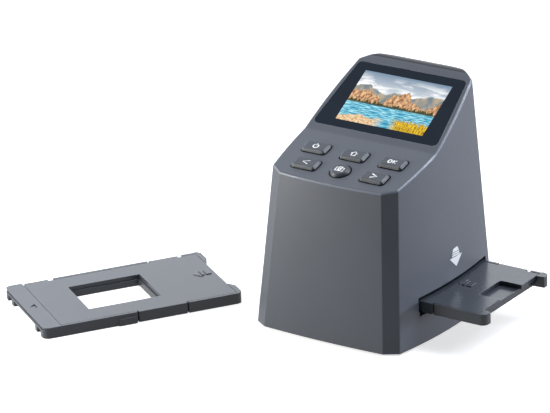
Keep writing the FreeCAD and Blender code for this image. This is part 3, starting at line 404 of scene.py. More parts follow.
@dataclass(frozen=True)
class SoftRubber(Finish):
    """Moulded black rubber.

    It takes almost no gloss, and dust settles in its pits as a grey bloom.
    """

    colour: str
    roughness: float = 0.86
    dust: Patches = Patches(2.5, (0.45, 0.75), 4.0)
    dust_shine: float = 2.2
    pit_mm: float = 0.4
    pit_depth_mm: float = 0.03

    def build(self) -> Material:
        """Build the material: pits and a dusty bloom.

        Returns:
            The material.
        """
        material, tree, place = self.start()
        colour = add_node(tree, "Mix", {
            "Factor": self.dust.spread(tree, place), "A": to_linear(self.colour),
            "B": to_linear(self.colour, self.dust_shine)}, data_type="RGBA")
        pits = add_node(tree, "TexNoise", {
            "Vector": place, "Scale": per_mm(self.pit_mm), "Detail": 3.0})
        bump = add_node(tree, "Bump", {"Height": pits, "Distance": self.pit_depth_mm * MM})
        return self.close(material, add_node(tree, "BsdfPrincipled", {
            "Base Color": colour, "Roughness": self.roughness, "IOR": 1.5, "Normal": bump}))


class Drawing(Enum):
    """The way a metal's drawing lines run, as the stretch of their pattern."""

    ALONG_X = (0.03, 1.0, 1.0)
    ALONG_Y = (1.0, 0.03, 1.0)
    NONE = (1.0, 1.0, 1.0)


@dataclass(frozen=True)
class PlatedSteel(Finish):
    """Rolled or drawn steel with a bright plating.

    Fine lines along the rolling stretch its reflections, and the plating dulls in spots.
    """

    colour: str
    drawing: Drawing = Drawing.ALONG_X
    roughness: float = 0.3
    # Real lines are about 0.02 mm apart, too fine to show, so they are drawn at 0.25 mm.
    line_mm: float = 0.25
    line_depth_mm: float = 0.004
    line_roughness: Point = (-0.08, 0.1)
    spots: Patches = Patches(5.0, (0.4, 0.7), 3.0)
    spot_shade: float = 0.82

    def build(self) -> Material:
        """Build the material: drawing lines in gloss and height over a spotted plating.

        Returns:
            The material.
        """
        material, tree, place = self.start()
        stretched = add_node(tree, "Mapping", {"Vector": place, "Scale": self.drawing.value})
        lines = add_node(tree, "TexNoise", {
            "Vector": stretched, "Scale": per_mm(self.line_mm), "Detail": 4.0})
        colour = add_node(tree, "Mix", {
            "Factor": self.spots.spread(tree, place), "A": to_linear(self.colour),
            "B": to_linear(self.colour, self.spot_shade)}, data_type="RGBA")
        gloss = add_node(tree, "MapRange", {
            0: lines, 1: 0.3, 2: 0.7, 3: self.roughness + self.line_roughness[0],
            4: self.roughness + self.line_roughness[1]})
        bump = add_node(tree, "Bump", {"Height": lines, "Distance": self.line_depth_mm * MM})
        return self.close(material, add_node(tree, "BsdfPrincipled", {
            "Base Color": colour, "Metallic": 1.0, "Roughness": gloss, "Normal": bump}))


@dataclass(frozen=True)
class SolderMaskBoard(Finish):
    """A lacquered glass-fibre board.

    Copper tracks show as paler green ridges under the lacquer, and tinned pads as bright dots.
    """

    mask: str = "#0d4526"
    track: str = "#1f6b3c"
    tin: str = "#b9bab4"
    track_pitch_mm: float = 2.2
    track_wander: float = 0.75
    track_edge: Point = (0.05, 0.03)
    pad_pitch_mm: float = 5.0
    pad_wander: float = 0.9
    pad_edge: Point = (0.12, 0.1)
    relief_mm: float = 0.03
    roughness: Point = (0.28, 0.4)

    def build(self) -> Material:
        """Build the material: tracks and pads under a glossy lacquer.

        Returns:
            The material.
        """
        material, tree, place = self.start()
        cells = add_node(tree, "TexVoronoi", {
            "Vector": place, "Scale": per_mm(self.track_pitch_mm),
            "Randomness": self.track_wander}, feature="DISTANCE_TO_EDGE")
        tracks = add_node(tree, "MapRange", {
            0: cells, 1: self.track_edge[0], 2: self.track_edge[1]})
        dots = add_node(tree, "TexVoronoi", {
            "Vector": place, "Scale": per_mm(self.pad_pitch_mm), "Randomness": self.pad_wander})
        pads = add_node(tree, "MapRange", {0: dots, 1: self.pad_edge[0], 2: self.pad_edge[1]})
        colour = to_linear(self.mask)
        for mask, shade in ((tracks, self.track), (pads, self.tin)):
            colour = add_node(tree, "Mix", {
                "Factor": mask, "A": colour, "B": to_linear(shade)}, data_type="RGBA")
        gloss = add_node(tree, "MapRange", {0: pads, 3: self.roughness[0], 4: self.roughness[1]})
        height = add_node(tree, "Math", {0: tracks, 1: pads}, operation="ADD")
        bump = add_node(tree, "Bump", {"Height": height, "Distance": self.relief_mm * MM})
        return self.close(material, add_node(tree, "BsdfPrincipled", {
            "Base Color": colour, "Roughness": gloss, "Metallic": pads, "IOR": 1.5,
            "Normal": bump}))


@dataclass(frozen=True)
class FlatCableFilm(Finish):
    """Polyimide film laminated over flat copper wires.

    The film is amber and glossy, and the wires show through it as paler ridges.
    """

    film: str = "#a8641c"
    copper: str = "#d08a3c"
    pitch_mm: float = 0.5
    wire_edge: Point = (0.4, 0.6)
    wire_rise_mm: float = 0.02

    def build(self) -> Material:
        """Build the material: copper ridges under amber film.

        Returns:
            The material.
        """
        material, tree, place = self.start()
        # A wave's bands repeat every pi / 10 of its scale, here a wire and a gap of a pitch each.
        bands = add_node(tree, "TexWave", {
            "Vector": place, "Scale": math.pi / (20 * self.pitch_mm * MM)})
        wires = add_node(tree, "MapRange", {
            0: bands.outputs[1], 1: self.wire_edge[0], 2: self.wire_edge[1]})
        colour = add_node(tree, "Mix", {
            "Factor": wires, "A": to_linear(self.film), "B": to_linear(self.copper)},
            data_type="RGBA")
        bump = add_node(tree, "Bump", {"Height": wires, "Distance": self.wire_rise_mm * MM})
        return self.close(material, add_node(tree, "BsdfPrincipled", {
            "Base Color": colour, "Roughness": 0.32, "IOR": 1.6, "Normal": bump}))


@dataclass(frozen=True)
class CoatedLensGlass(Finish):
    """Ground and polished optical glass.

    It is clear and sharp, with a violet sheen from its coating and faint polish marks.
    """

    tint: str = "#e6eef2"
    coat: str = "#b9a8e6"
    coat_weight: float = 0.6
    polish: Patches = Patches(3.0, (0.4, 0.7), 5.0)
    roughness: Point = (0.01, 0.03)

    def build(self) -> Material:
        """Build the material: clear glass under a thin coat.

        Returns:
            The material.
        """
        material, tree, place = self.start()
        return self.close(material, add_node(tree, "BsdfPrincipled", {
            "Base Color": to_linear(self.tint), "Transmission Weight": 1.0, "IOR": 1.52,
            "Roughness": self.polish.spread(tree, place, self.roughness),
            "Coat Weight": self.coat_weight, "Coat Tint": to_linear(self.coat)}))


@dataclass(frozen=True)
class OpalAcrylic(Finish):
    """Cast acrylic with white filler.

    Light spreads under its face, so it looks soft and even, with slight clouds.
    """

    colour: str = "#eeeeea"
    clouds: Patches = Patches(6.0, detail=3.0)
    cloud_shade: float = 0.9
    roughness: Point = (0.45, 0.55)
    glow_weight: float = 0.3
    glow_depth_mm: float = 2.0

    def build(self) -> Material:
        """Build the material: a soft clouded white with light carried under its face.

        Returns:
            The material.
        """
        material, tree, place = self.start()
        share = self.clouds.spread(tree, place)
        colour = add_node(tree, "Mix", {
            "Factor": share, "A": to_linear(self.colour),
            "B": to_linear(self.colour, self.cloud_shade)}, data_type="RGBA")
        gloss = add_node(tree, "MapRange", {0: share, 3: self.roughness[0], 4: self.roughness[1]})
        return self.close(material, add_node(tree, "BsdfPrincipled", {
            "Base Color": colour, "Roughness": gloss, "IOR": ACRYLIC_IOR,
            "Subsurface Weight": self.glow_weight, "Subsurface Scale": self.glow_depth_mm * MM}))


@dataclass(frozen=True)
class PrintedInk(Finish):
    """White pad-printing ink.

    It lies dense and nearly matte on the plastic, slightly thinner in places.
    """

    colour: str = "#ffffff"
    thin: str = "#f3f5f6"
    mottle: Patches = Patches(0.5, (0.35, 0.7), 3.0)
    mottle_depth_mm: float = 0.004
    roughness: float = 0.45

    def build(self) -> Material:
        """Build the material: dense white with a faint mottle.

        Returns:
            The material.
        """
        material, tree, place = self.start()
        mottle = self.mottle.spread(tree, place)
        colour = add_node(tree, "Mix", {
            "Factor": mottle, "A": to_linear(self.colour), "B": to_linear(self.thin)},
            data_type="RGBA")
        bump = add_node(tree, "Bump", {"Height": mottle, "Distance": self.mottle_depth_mm * MM})
        return self.close(material, add_node(tree, "BsdfPrincipled", {
            "Base Color": colour, "Roughness": self.roughness, "IOR": 1.5, "Normal": bump}))


@dataclass(frozen=True)
class LampPackage(Finish):
    """Small white ceramic lamp bodies.

    Their tops are windows of speckled yellow phosphor.
    """

    body: str = "#ecebe6"
    phosphor: str = "#e8c93a"
    specks: Patches = Patches(0.3, (0.4, 0.6))
    speck_shine: float = 1.25
    top_cosines: Point = (0.8, 0.9)
    roughness: float = 0.4

    def build(self) -> Material:
        """Build the material: ceramic sides and a yellow top.

        Returns:
            The material.
        """
        material, tree, place = self.start()
        normal = add_node(tree, "NewGeometry").outputs["Normal"]
        upward = add_node(tree, "SeparateXYZ", {0: normal}).outputs[2]
        top = add_node(tree, "MapRange", {
            0: upward, 1: self.top_cosines[0], 2: self.top_cosines[1]})
        yellow = add_node(tree, "Mix", {
            "Factor": self.specks.spread(tree, place), "A": to_linear(self.phosphor),
            "B": to_linear(self.phosphor, self.speck_shine)}, data_type="RGBA")
        colour = add_node(tree, "Mix", {
            "Factor": top, "A": to_linear(self.body), "B": yellow}, data_type="RGBA")
        return self.close(material, add_node(tree, "BsdfPrincipled", {
            "Base Color": colour, "Roughness": self.roughness, "IOR": 1.5}))


@dataclass(frozen=True)
class Skyline:
    """The wavy upper edge of a painted layer, in shares of the picture's half height."""

    level: float
    rise: float = 0.0
    crest_mm: float = 10.0
    seed: float = 0.0
    soft: float = 0.02


@dataclass(frozen=True)
class PaintedLayer:
    """One layer of the picture: two tones in lumps and a third in marks, below a skyline."""

    tones: tuple[str, str, str]
    lump_mm: float
    stretch: float
    seed: float
    levels: Point
    skyline: Skyline
    fade_mm: Point | None = None
    mark_levels: Point = (0.56, 0.66)
    mark_seed: float = 13.0


# From the back: hazy hills, cracked rocks, a line of trees, the rippled lake, a beach and reeds.
LAKE_LAYERS = (
    PaintedLayer(("#6f7f86", "#b0a08a", "#8d8c80"), 4.0, 0.8, 5.0, (0.4, 0.62),
                 Skyline(0.36, 0.3, 16.0, 2.3)),
    PaintedLayer(("#8a5a34", "#e6b98c", "#4b2f1e"), 2.6, 0.55, 1.0, (0.36, 0.6),
                 Skyline(0.16, 0.42, 11.0, 7.9)),
    PaintedLayer(("#20251b", "#5d6135", "#11140f"), 0.9, 0.35, 21.0, (0.4, 0.62),
                 Skyline(-0.14, 0.1, 1.1, 4.4, 0.03)),
    PaintedLayer(("#2a8fb3", "#a8e6ee", "#1f6a92"), 0.55, 9.0, 6.0, (0.44, 0.6),
                 Skyline(-0.24)),
    PaintedLayer(("#c79a63", "#f2dcb8", "#a87d4b"), 0.8, 1.5, 30.0, (0.4, 0.6),
                 Skyline(-0.74, 0.16, 9.0, 12.5, 0.03), (2.0, -6.0)),
    PaintedLayer(("#8a6a12", "#f9cd26", "#6a4f0c"), 2.4, 0.14, 17.0, (0.42, 0.58),
                 Skyline(-0.62, 0.16, 1.0, 9.1, 0.05), (3.0, 9.0)),
)

# Each bank of clouds: its lumps' height in mm, stretch and seed, and where it thins out and fills.
CLOUD_BANKS = ((5.0, 3.2, 3.0, 0.95, 0.6), (2.0, 6.0, 9.0, 0.62, 0.4))


@dataclass(frozen=True)
class LitDisplay(Finish):
    """A backlit display that shows a lake under warm hills.

    It glows evenly through a glossy polariser, so its colours stay clear beside the dark print.
    """

    slope: Slope
    centre_mm: float
    half_height_mm: float
    glow: float = 1.15
    roughness: float = 0.12
    panel: str = "#0b0d10"
    low_sky: str = "#cdd4da"
    high_sky: str = "#7489a0"
    cloud: str = "#f6f7f7"
    horizon: float = 0.2
    cloud_levels: Point = (0.46, 0.6)

    def lumps(self, tree: Tree, flat: Node, size: float, stretch: float, seed: float) -> Node:
        """Spread noise over the picture's own plane.

        Args:
            tree: The material's node tree.
            flat: Across and along the picture, in millimetres.
            size: The lumps' height in millimetres.
            stretch: How many times wider than high they are.
            seed: Where in the noise they are taken from.

        Returns:
            The noise.
        """
        spread = add_node(tree, "Mapping", {
            "Vector": flat, "Scale": (1 / (size * stretch), 1 / size, 0.0),
            "Location": (seed, seed * 0.37, seed)})
        return add_node(tree, "TexNoise", {"Vector": spread, "Scale": 1.0, "Detail": 5.0})

    def below(self, tree: Tree, across: Socket, height: Node, edge: Skyline) -> Node:
        """Mark what lies below a skyline.

        Args:
            tree: The material's node tree.
            across: The place across the picture in millimetres.
            height: The place up the picture, from minus one to one.
            edge: The skyline.

        Returns:
            One below the skyline and zero above it.
        """
        step = add_node(tree, "Math", {0: across, 1: edge.crest_mm}, operation="DIVIDE")
        place = add_node(tree, "CombineXYZ", {0: step, 1: edge.seed})
        line = add_node(tree, "TexNoise", {"Vector": place, "Scale": 1.0, "Detail": 5.0})
        crest = add_node(tree, "MapRange", {
            0: line, 1: 0.25, 2: 0.75, 3: edge.level - edge.rise, 4: edge.level + edge.rise})
        depth = add_node(tree, "Math", {0: crest, 1: height}, operation="SUBTRACT")
        return add_node(tree, "MapRange", {0: depth, 1: -edge.soft, 2: edge.soft},
                        interpolation_type="SMOOTHSTEP")

    def sky(self, tree: Tree, flat: Node, height: Node) -> Node:
        """Paint the sky and its clouds.

        Args:
            tree: The material's node tree.
            flat: Across and along the picture, in millimetres.
            height: The place up the picture, from minus one to one.

        Returns:
            The sky's colour.
        """
        up = add_node(tree, "MapRange", {0: height, 1: self.horizon, 2: 1.0})
        picture = add_node(tree, "Mix", {
            "Factor": up, "A": to_linear(self.low_sky), "B": to_linear(self.high_sky)},
            data_type="RGBA")
        for size, stretch, seed, thin, full in CLOUD_BANKS:
            cloud = add_node(tree, "MapRange", {
                0: self.lumps(tree, flat, size, stretch, seed), 1: self.cloud_levels[0],
                2: self.cloud_levels[1]}, interpolation_type="SMOOTHSTEP")
            band = add_node(tree, "MapRange", {0: height, 1: thin, 2: full})
            share = add_node(tree, "Math", {0: cloud, 1: band}, operation="MULTIPLY")
            picture = add_node(tree, "Mix", {
                "Factor": share, "A": picture, "B": to_linear(self.cloud)}, data_type="RGBA")
        return picture

    def build(self) -> Material:
        """Build the material: the sky, then each painted layer in turn.

        Returns:
            The material.
        """
        material, tree, place = self.start()
        flat = add_node(tree, "Mapping", {
            "Vector": self.slope.from_foot(tree, place), "Scale": (1 / MM, 1 / MM, 1 / MM),
            "Rotation": (-math.radians(self.slope.angle_deg), 0, 0)})
        axes = add_node(tree, "SeparateXYZ", {0: flat}).outputs
        height = add_node(tree, "MapRange", {
            0: axes[1], 1: self.centre_mm - self.half_height_mm,
            2: self.centre_mm + self.half_height_mm, 3: -1.0, 4: 1.0})
        picture = self.sky(tree, flat, height)
        for layer in LAKE_LAYERS:
            tone = to_linear(layer.tones[0])
            for colour, size, seed, levels in (
                    (layer.tones[1], layer.lump_mm, layer.seed, layer.levels),
                    (layer.tones[2], layer.lump_mm / 2, layer.seed + layer.mark_seed,
                     layer.mark_levels)):
                lumps = self.lumps(tree, flat, size, layer.stretch, seed)
                share = add_node(tree, "MapRange", {0: lumps, 1: levels[0], 2: levels[1]})
                tone = add_node(tree, "Mix", {
                    "Factor": share, "A": tone, "B": to_linear(colour)}, data_type="RGBA")
            mask = self.below(tree, axes[0], height, layer.skyline)
            if layer.fade_mm:
                fade = add_node(tree, "MapRange", {
                    0: axes[0], 1: layer.fade_mm[0], 2: layer.fade_mm[1]},
                    interpolation_type="SMOOTHSTEP")
                mask = add_node(tree, "Math", {0: mask, 1: fade}, operation="MULTIPLY")
            picture = add_node(tree, "Mix", {
                "Factor": mask, "A": picture, "B": tone}, data_type="RGBA")
        return self.close(material, add_node(tree, "BsdfPrincipled", {
            "Base Color": to_linear(self.panel), "Roughness": self.roughness,
            "IOR": ACRYLIC_IOR, "Emission Color": picture, "Emission Strength": self.glow}))


def placed(name: str, data: bpy.types.ID) -> bpy.types.Object:
    """Put a new object that holds the data into the scene, at the origin."""
    entry = bpy.data.objects.new(name, data)
    bpy.context.scene.collection.objects.link(entry)
    return entry


def solid_object(name: str, mesh: Mesh, material: Material) -> bpy.types.Object:
    """Turn a bmesh into an object with one material.

    Args:
        name: The object's name.
        mesh: The shape, in metres, which is used up.
        material: The finish.

    Returns:
        The new object, at the origin.
    """
    data = bpy.data.meshes.new(name)
    mesh.to_mesh(data)
    mesh.free()
    data.materials.append(material)
    return placed(name, data)


def finished_piece(name: str, mesh: Mesh, place: Matrix, material: Material, body: str) -> bpy.types.Object:
    """Turn a bmesh into a piece that rides on a body.

    Args:
        name: The piece's name.
        mesh: The shape, in metres in its own frame.
        place: Where that frame stands in the row frame.
        material: The piece's finish.
        body: The body it moves with.

    Returns:
        The new object, at the origin, with its place in its mesh.
    """
    bmesh.ops.transform(mesh, matrix=place, verts=mesh.verts)
    bmesh.ops.recalc_face_normals(mesh, faces=mesh.faces)
    piece = solid_object(name, mesh, material)
    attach(piece, body)
    log.info("made %s: %d faces", name, len(piece.data.polygons))
    return piece


def extruded(mesh: Mesh, way: Triple) -> list[bmesh.types.BMVert]:
    """Extrude every face of a flat bmesh.

    Args:
        mesh: The flat shape.
        way: How far the new side is moved, in metres.

    Returns:
        The corners of the new side.
    """
    grown = bmesh.ops.extrude_face_region(mesh, geom=list(mesh.faces))["geom"]
    moved = [entry for entry in grown if isinstance(entry, bmesh.types.BMVert)]
    bmesh.ops.translate(mesh, vec=way, verts=moved)
    return moved


def raised_plates(outlines: list[list[Point]], rise_mm: float, edge_mm: float) -> Mesh:
    """Raise flat plates from outlines, with their backs at zero height.

    Args:
        outlines: One closed outline per plate, in millimetres.
        rise_mm: How far the plates rise.
        edge_mm: The bevel along their upper edges.

    Returns:
        The plates as one bmesh, in metres.
    """
    mesh = bmesh.new()
    for outline in outlines:
        mesh.faces.new([mesh.verts.new((x * MM, y * MM, 0)) for x, y in outline])
    bmesh.ops.recalc_face_normals(mesh, faces=mesh.faces)
    upper = extruded(mesh, (0, 0, rise_mm * MM))
    rims = [edge for edge in mesh.edges if all(vertex in upper for vertex in edge.verts)]
    bmesh.ops.bevel(mesh, geom=rims, offset=edge_mm * MM, segments=2, profile=0.5,
                    affect="EDGES", material=-1)
    return mesh


def stroke_mesh(name: str, paths: Strokes, width_mm: float, rise_mm: float) -> Mesh:
    """Draw strokes as flattened round lines around zero height.

    Args:
        name: A name for the line while it is made.
        paths: Each stroke's points in millimetres, and whether it closes.
        width_mm: The stroke's width.
        rise_mm: How far it stands up.

    Returns:
        The strokes as one bmesh, in metres.
    """
    curve = bpy.data.curves.new(name, "CURVE")
    curve.dimensions = "3D"
    curve.bevel_depth = width_mm * MM / 2
    curve.bevel_resolution = 2
    curve.use_fill_caps = True
    for points, closed in paths:
        spline = curve.splines.new("POLY")
        spline.points.add(len(points) - 1)
        for entry, (x, y) in zip(spline.points, points):
            entry.co = (x * MM, y * MM, 0, 1)
        spline.use_cyclic_u = closed
    holder = placed(name, curve)
    bpy.context.view_layer.update()
    shape = bpy.data.meshes.new_from_object(
        holder.evaluated_get(bpy.context.evaluated_depsgraph_get()))
    mesh = bmesh.new()
    mesh.from_mesh(shape)
    bpy.data.objects.remove(holder)
    bpy.data.curves.remove(curve)
    bpy.data.meshes.remove(shape)
    bmesh.ops.remove_doubles(mesh, verts=mesh.verts, dist=1e-7)
    bmesh.ops.scale(mesh, vec=(1, 1, rise_mm / (width_mm / 2)), verts=mesh.verts)
    return mesh


def arc(centre: Point, radius: float, start_deg: float, end_deg: float, steps: int) -> list[Point]:
    """Give points along an arc, from the start angle to the end angle."""
    turns = [math.radians(start_deg + (end_deg - start_deg) * n / steps) for n in range(steps + 1)]
    return [(centre[0] + radius * math.cos(a), centre[1] + radius * math.sin(a)) for a in turns]


class KeySign(Enum):
    """The sign printed on each key, by the key's name."""

    POWER = "power"
    HOME = "home"
    OK = "ok"
    LEFT = "left"
    CAMERA = "camera"
    RIGHT = "right"


@dataclass
class Keypad:
    """The six signs on the keys."""

    slope: Slope
    stroke_mm: float = 0.64
    rise_mm: float = 0.05
    power_radius_mm: float = 1.35
    house_half_mm: float = 1.45
    letter_height_mm: float = 2.2
    chevron_half_mm: float = 1.6
    chevron_rise_mm: float = 1.4
    camera_half_mm: float = 2.1
    camera_rise_mm: float = 1.35

    def strokes(self, sign: KeySign) -> Strokes:
        """Give the strokes of one sign about its key's middle.

        Args:
            sign: Which sign it is.

        Returns:
            Each stroke's points in millimetres, and whether it closes.
        """
        if sign is KeySign.POWER:
            r = self.power_radius_mm
            return [(arc((0, -0.15), r, 125, 415, 26), False),
                    ([(0, 0.1), (0, r + 0.45)], False)]
        if sign is KeySign.HOME:
            h = self.house_half_mm
            wall, eave = h * 0.72, h * 1.15
            return [([(-wall, 0.1), (-wall, -h), (wall, -h), (wall, 0.1)], False),
                    ([(-eave, 0.0), (0, h), (eave, 0.0)], False)]
        if sign is KeySign.OK:
            top = self.letter_height_mm / 2
            ring = [(x * 0.82 - 1.45, y) for x, y in arc((0, 0), top, 0, 345, 22)]
            return [(ring, True), ([(0.35, -top), (0.35, top)], False),
                    ([(1.85, top), (0.45, 0.0), (1.95, -top)], False)]
        if sign is KeySign.CAMERA:
            w, h = self.camera_half_mm, self.camera_rise_mm
            roof, hump = h * 0.72, h * 1.2
            body = [(-w, -h), (w, -h), (w, roof), (w * 0.42, roof), (w * 0.28, hump),
                    (-w * 0.28, hump), (-w * 0.42, roof), (-w, roof)]
            return [(body, True), (arc((0, -h * 0.12), h * 0.55, 0, 342, 19), True)]
        way = -1 if sign is KeySign.LEFT else 1
        tip, rise = way * self.chevron_half_mm, self.chevron_rise_mm
        return [([(-tip, rise), (tip, 0.0), (-tip, -rise)], False)]

    def dress(self, ink: Material) -> None:
        """Print every key's sign on its cap.

        Args:
            ink: The printing ink.
        """
        for sign in KeySign:
            name = f"{sign.value}_sign"
            low, high = self.slope.extent(f"key_{sign.value}")
            mesh = stroke_mesh(name, self.strokes(sign), self.stroke_mm, self.rise_mm)
            spot = Matrix.Translation(((low.x + high.x) / 2, (low.y + high.y) / 2, high.z))
            finished_piece(name, mesh, self.slope.matrix() @ spot, ink, f"{sign.value}_key")


@dataclass
class ScreenCover:
    """The dark-bordered cover and the lit picture in its window."""

    slope: Slope
    low_s_mm: float = 4.3
    high_s_mm: float = 44.5
    low_width_mm: float = 68.4
    high_width_mm: float = 59.4
    corner_mm: float = 2.6
    picture_width_mm: float = 47.95
    picture_height_mm: float = 31.0
    picture_x_mm: float = 0.2
    picture_s_mm: float = 24.3

    def border_mesh(self, depth: float) -> Mesh:
        """Make the bordered plate with its opening.

        Args:
            depth: The plate's thickness in metres.

        Returns:
            The plate in the slope's frame, its top at zero height.
        """
        mesh = bmesh.new()
        low, high = self.low_width_mm / 2, self.high_width_mm / 2
        ring = [mesh.verts.new((x * MM, s * MM, 0)) for x, s in (
            (-low, self.low_s_mm), (low, self.low_s_mm),
            (high, self.high_s_mm), (-high, self.high_s_mm))]
        mesh.faces.new(ring)
        bmesh.ops.bevel(mesh, geom=ring, offset=self.corner_mm * MM, segments=8, profile=0.5,
                        affect="VERTICES", material=-1)
        bmesh.ops.delete(mesh, geom=list(mesh.faces), context="FACES_ONLY")
        half_w, half_h = self.picture_width_mm / 2, self.picture_height_mm / 2
        inner = [mesh.verts.new(((self.picture_x_mm + side * half_w) * MM,
                                 (self.picture_s_mm + end * half_h) * MM, 0))
                 for side, end in ((-1, -1), (1, -1), (1, 1), (-1, 1))]
        for first, second in zip(inner, inner[1:] + inner[:1]):
            mesh.edges.new((first, second))
        bmesh.ops.triangle_fill(mesh, use_beauty=True, edges=list(mesh.edges), normal=(0, 0, 1))
        extruded(mesh, (0, 0, -depth))
        return mesh

    def picture_mesh(self, depth: float) -> Mesh:
        """Make the picture's plate.

        Args:
            depth: The plate's thickness in metres.

        Returns:
            The plate in the slope's frame, its top at zero height.
        """
        mesh = bmesh.new()
        bmesh.ops.create_cube(mesh, size=1)
        size = (self.picture_width_mm * MM, self.picture_height_mm * MM, depth)
        bmesh.ops.scale(mesh, vec=size, verts=mesh.verts)
        middle = (self.picture_x_mm * MM, self.picture_s_mm * MM, -depth / 2)
        bmesh.ops.translate(mesh, vec=middle, verts=mesh.verts)
        return mesh

    def dress(self, border: Material) -> None:
        """Put the border and the picture where the plain window stands.

        Args:
            border: The border's printed acrylic.
        """
        low, high = self.slope.extent("screen_window")
        place = self.slope.matrix() @ Matrix.Translation((0, 0, high.z))
        depth = high.z - low.z
        plate = finished_piece("window_border", self.border_mesh(depth), place, border,
                               "scanner")
        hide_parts("screen_window")
        picture = LitDisplay("lit_lake_display", self.slope, self.picture_s_mm,
                             self.picture_height_mm / 2)
        lit = finished_piece("screen_picture", self.picture_mesh(depth), place,
                             picture.build(), "scanner")
        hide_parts("screen_window")


@dataclass
class WallMarker:
    """The white arrow above the slot, printed on the right wall."""

    outlines: list[list[Point]] = field(default_factory=lambda: [
        [(4.1, 32.9), (9.15, 28.1), (15.1, 32.9), (12.9, 32.55), (9.5, 32.75), (6.0, 32.95)],
        [(6.2, 33.3), (12.95, 32.95), (12.8, 33.7), (6.4, 34.05)],
        [(6.5, 34.35), (12.75, 34.0), (12.55, 34.7), (6.75, 35.05)],
        [(6.85, 35.35), (12.45, 35.0), (11.9, 36.7), (10.9, 37.2), (8.0, 36.95), (7.2, 36.2)],
    ])
    start_x: float = 0.08
    root_mm: float = 0.01
    rise_mm: float = 0.03

    def dress(self, ink: Material) -> None:
        """Lay the arrow on the wall, bent to its curve.

        Args:
            ink: The printing ink.
        """
        housing = bmesh.new()
        housing.from_mesh(frame["nodes"]["upper_housing"].data)
        wall = BVHTree.FromBMesh(housing)
        housing.free()
        mesh = bmesh.new()
        for outline in self.outlines:
            mesh.faces.new([mesh.verts.new((self.start_x, y * MM, z * MM)) for y, z in outline])
        bmesh.ops.triangulate(mesh, faces=list(mesh.faces))
        bmesh.ops.subdivide_edges(mesh, edges=list(mesh.edges), cuts=2, use_grid_fill=True)
        for vertex in mesh.verts:
            hit = wall.ray_cast(vertex.co, Vector((-1, 0, 0)))[0]
            vertex.co.x = hit.x - self.root_mm * MM
        extruded(mesh, ((self.rise_mm + self.root_mm) * MM, 0, 0))
        finished_piece("wall_marker", mesh, Matrix.Identity(4), ink, "scanner")


@dataclass
class HolderArrow:
    """The moulded arrow on a holder's lid, which shows the way into the slot."""

    name: str
    body: str
    lid: str
    slot: str
    tip_mm: Point
    yaw_deg: float
    head_mm: Point = (3.1, 4.2)
    bars_mm: tuple[Point, ...] = ((3.5, 4.9), (5.8, 8.3))
    bar_half_mm: float = 2.6
    rise_mm: float = 0.4
    root_mm: float = 0.05
    edge_mm: float = 0.12

    def dress(self, material: Material) -> None:
        """Raise the arrow on the lid's top.

        Args:
            material: The lid's plastic.
        """
        length, half = self.head_mm
        outlines = [[(0.0, 0.0), (length, -half), (length, half)]]
        half = self.bar_half_mm
        for start, end in self.bars_mm:
            outlines.append([(start, -half), (end, -half), (end, half), (start, half)])
        mesh = raised_plates(outlines, self.rise_mm + self.root_mm, self.edge_mm)
        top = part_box(self.lid)[1].z - self.root_mm * MM
        spot = Matrix.Translation((self.tip_mm[0] * MM, self.tip_mm[1] * MM, top))
        place = spot @ Matrix.Rotation(math.radians(self.yaw_deg), 4, "Z")
        finished_piece(self.name, mesh, place, material, self.body)


@dataclass(frozen=True)
class Softbox:
    """One lamp with a plain square front."""

    name: str
    place: Triple
    size: Point
    watts: float
    colour: str


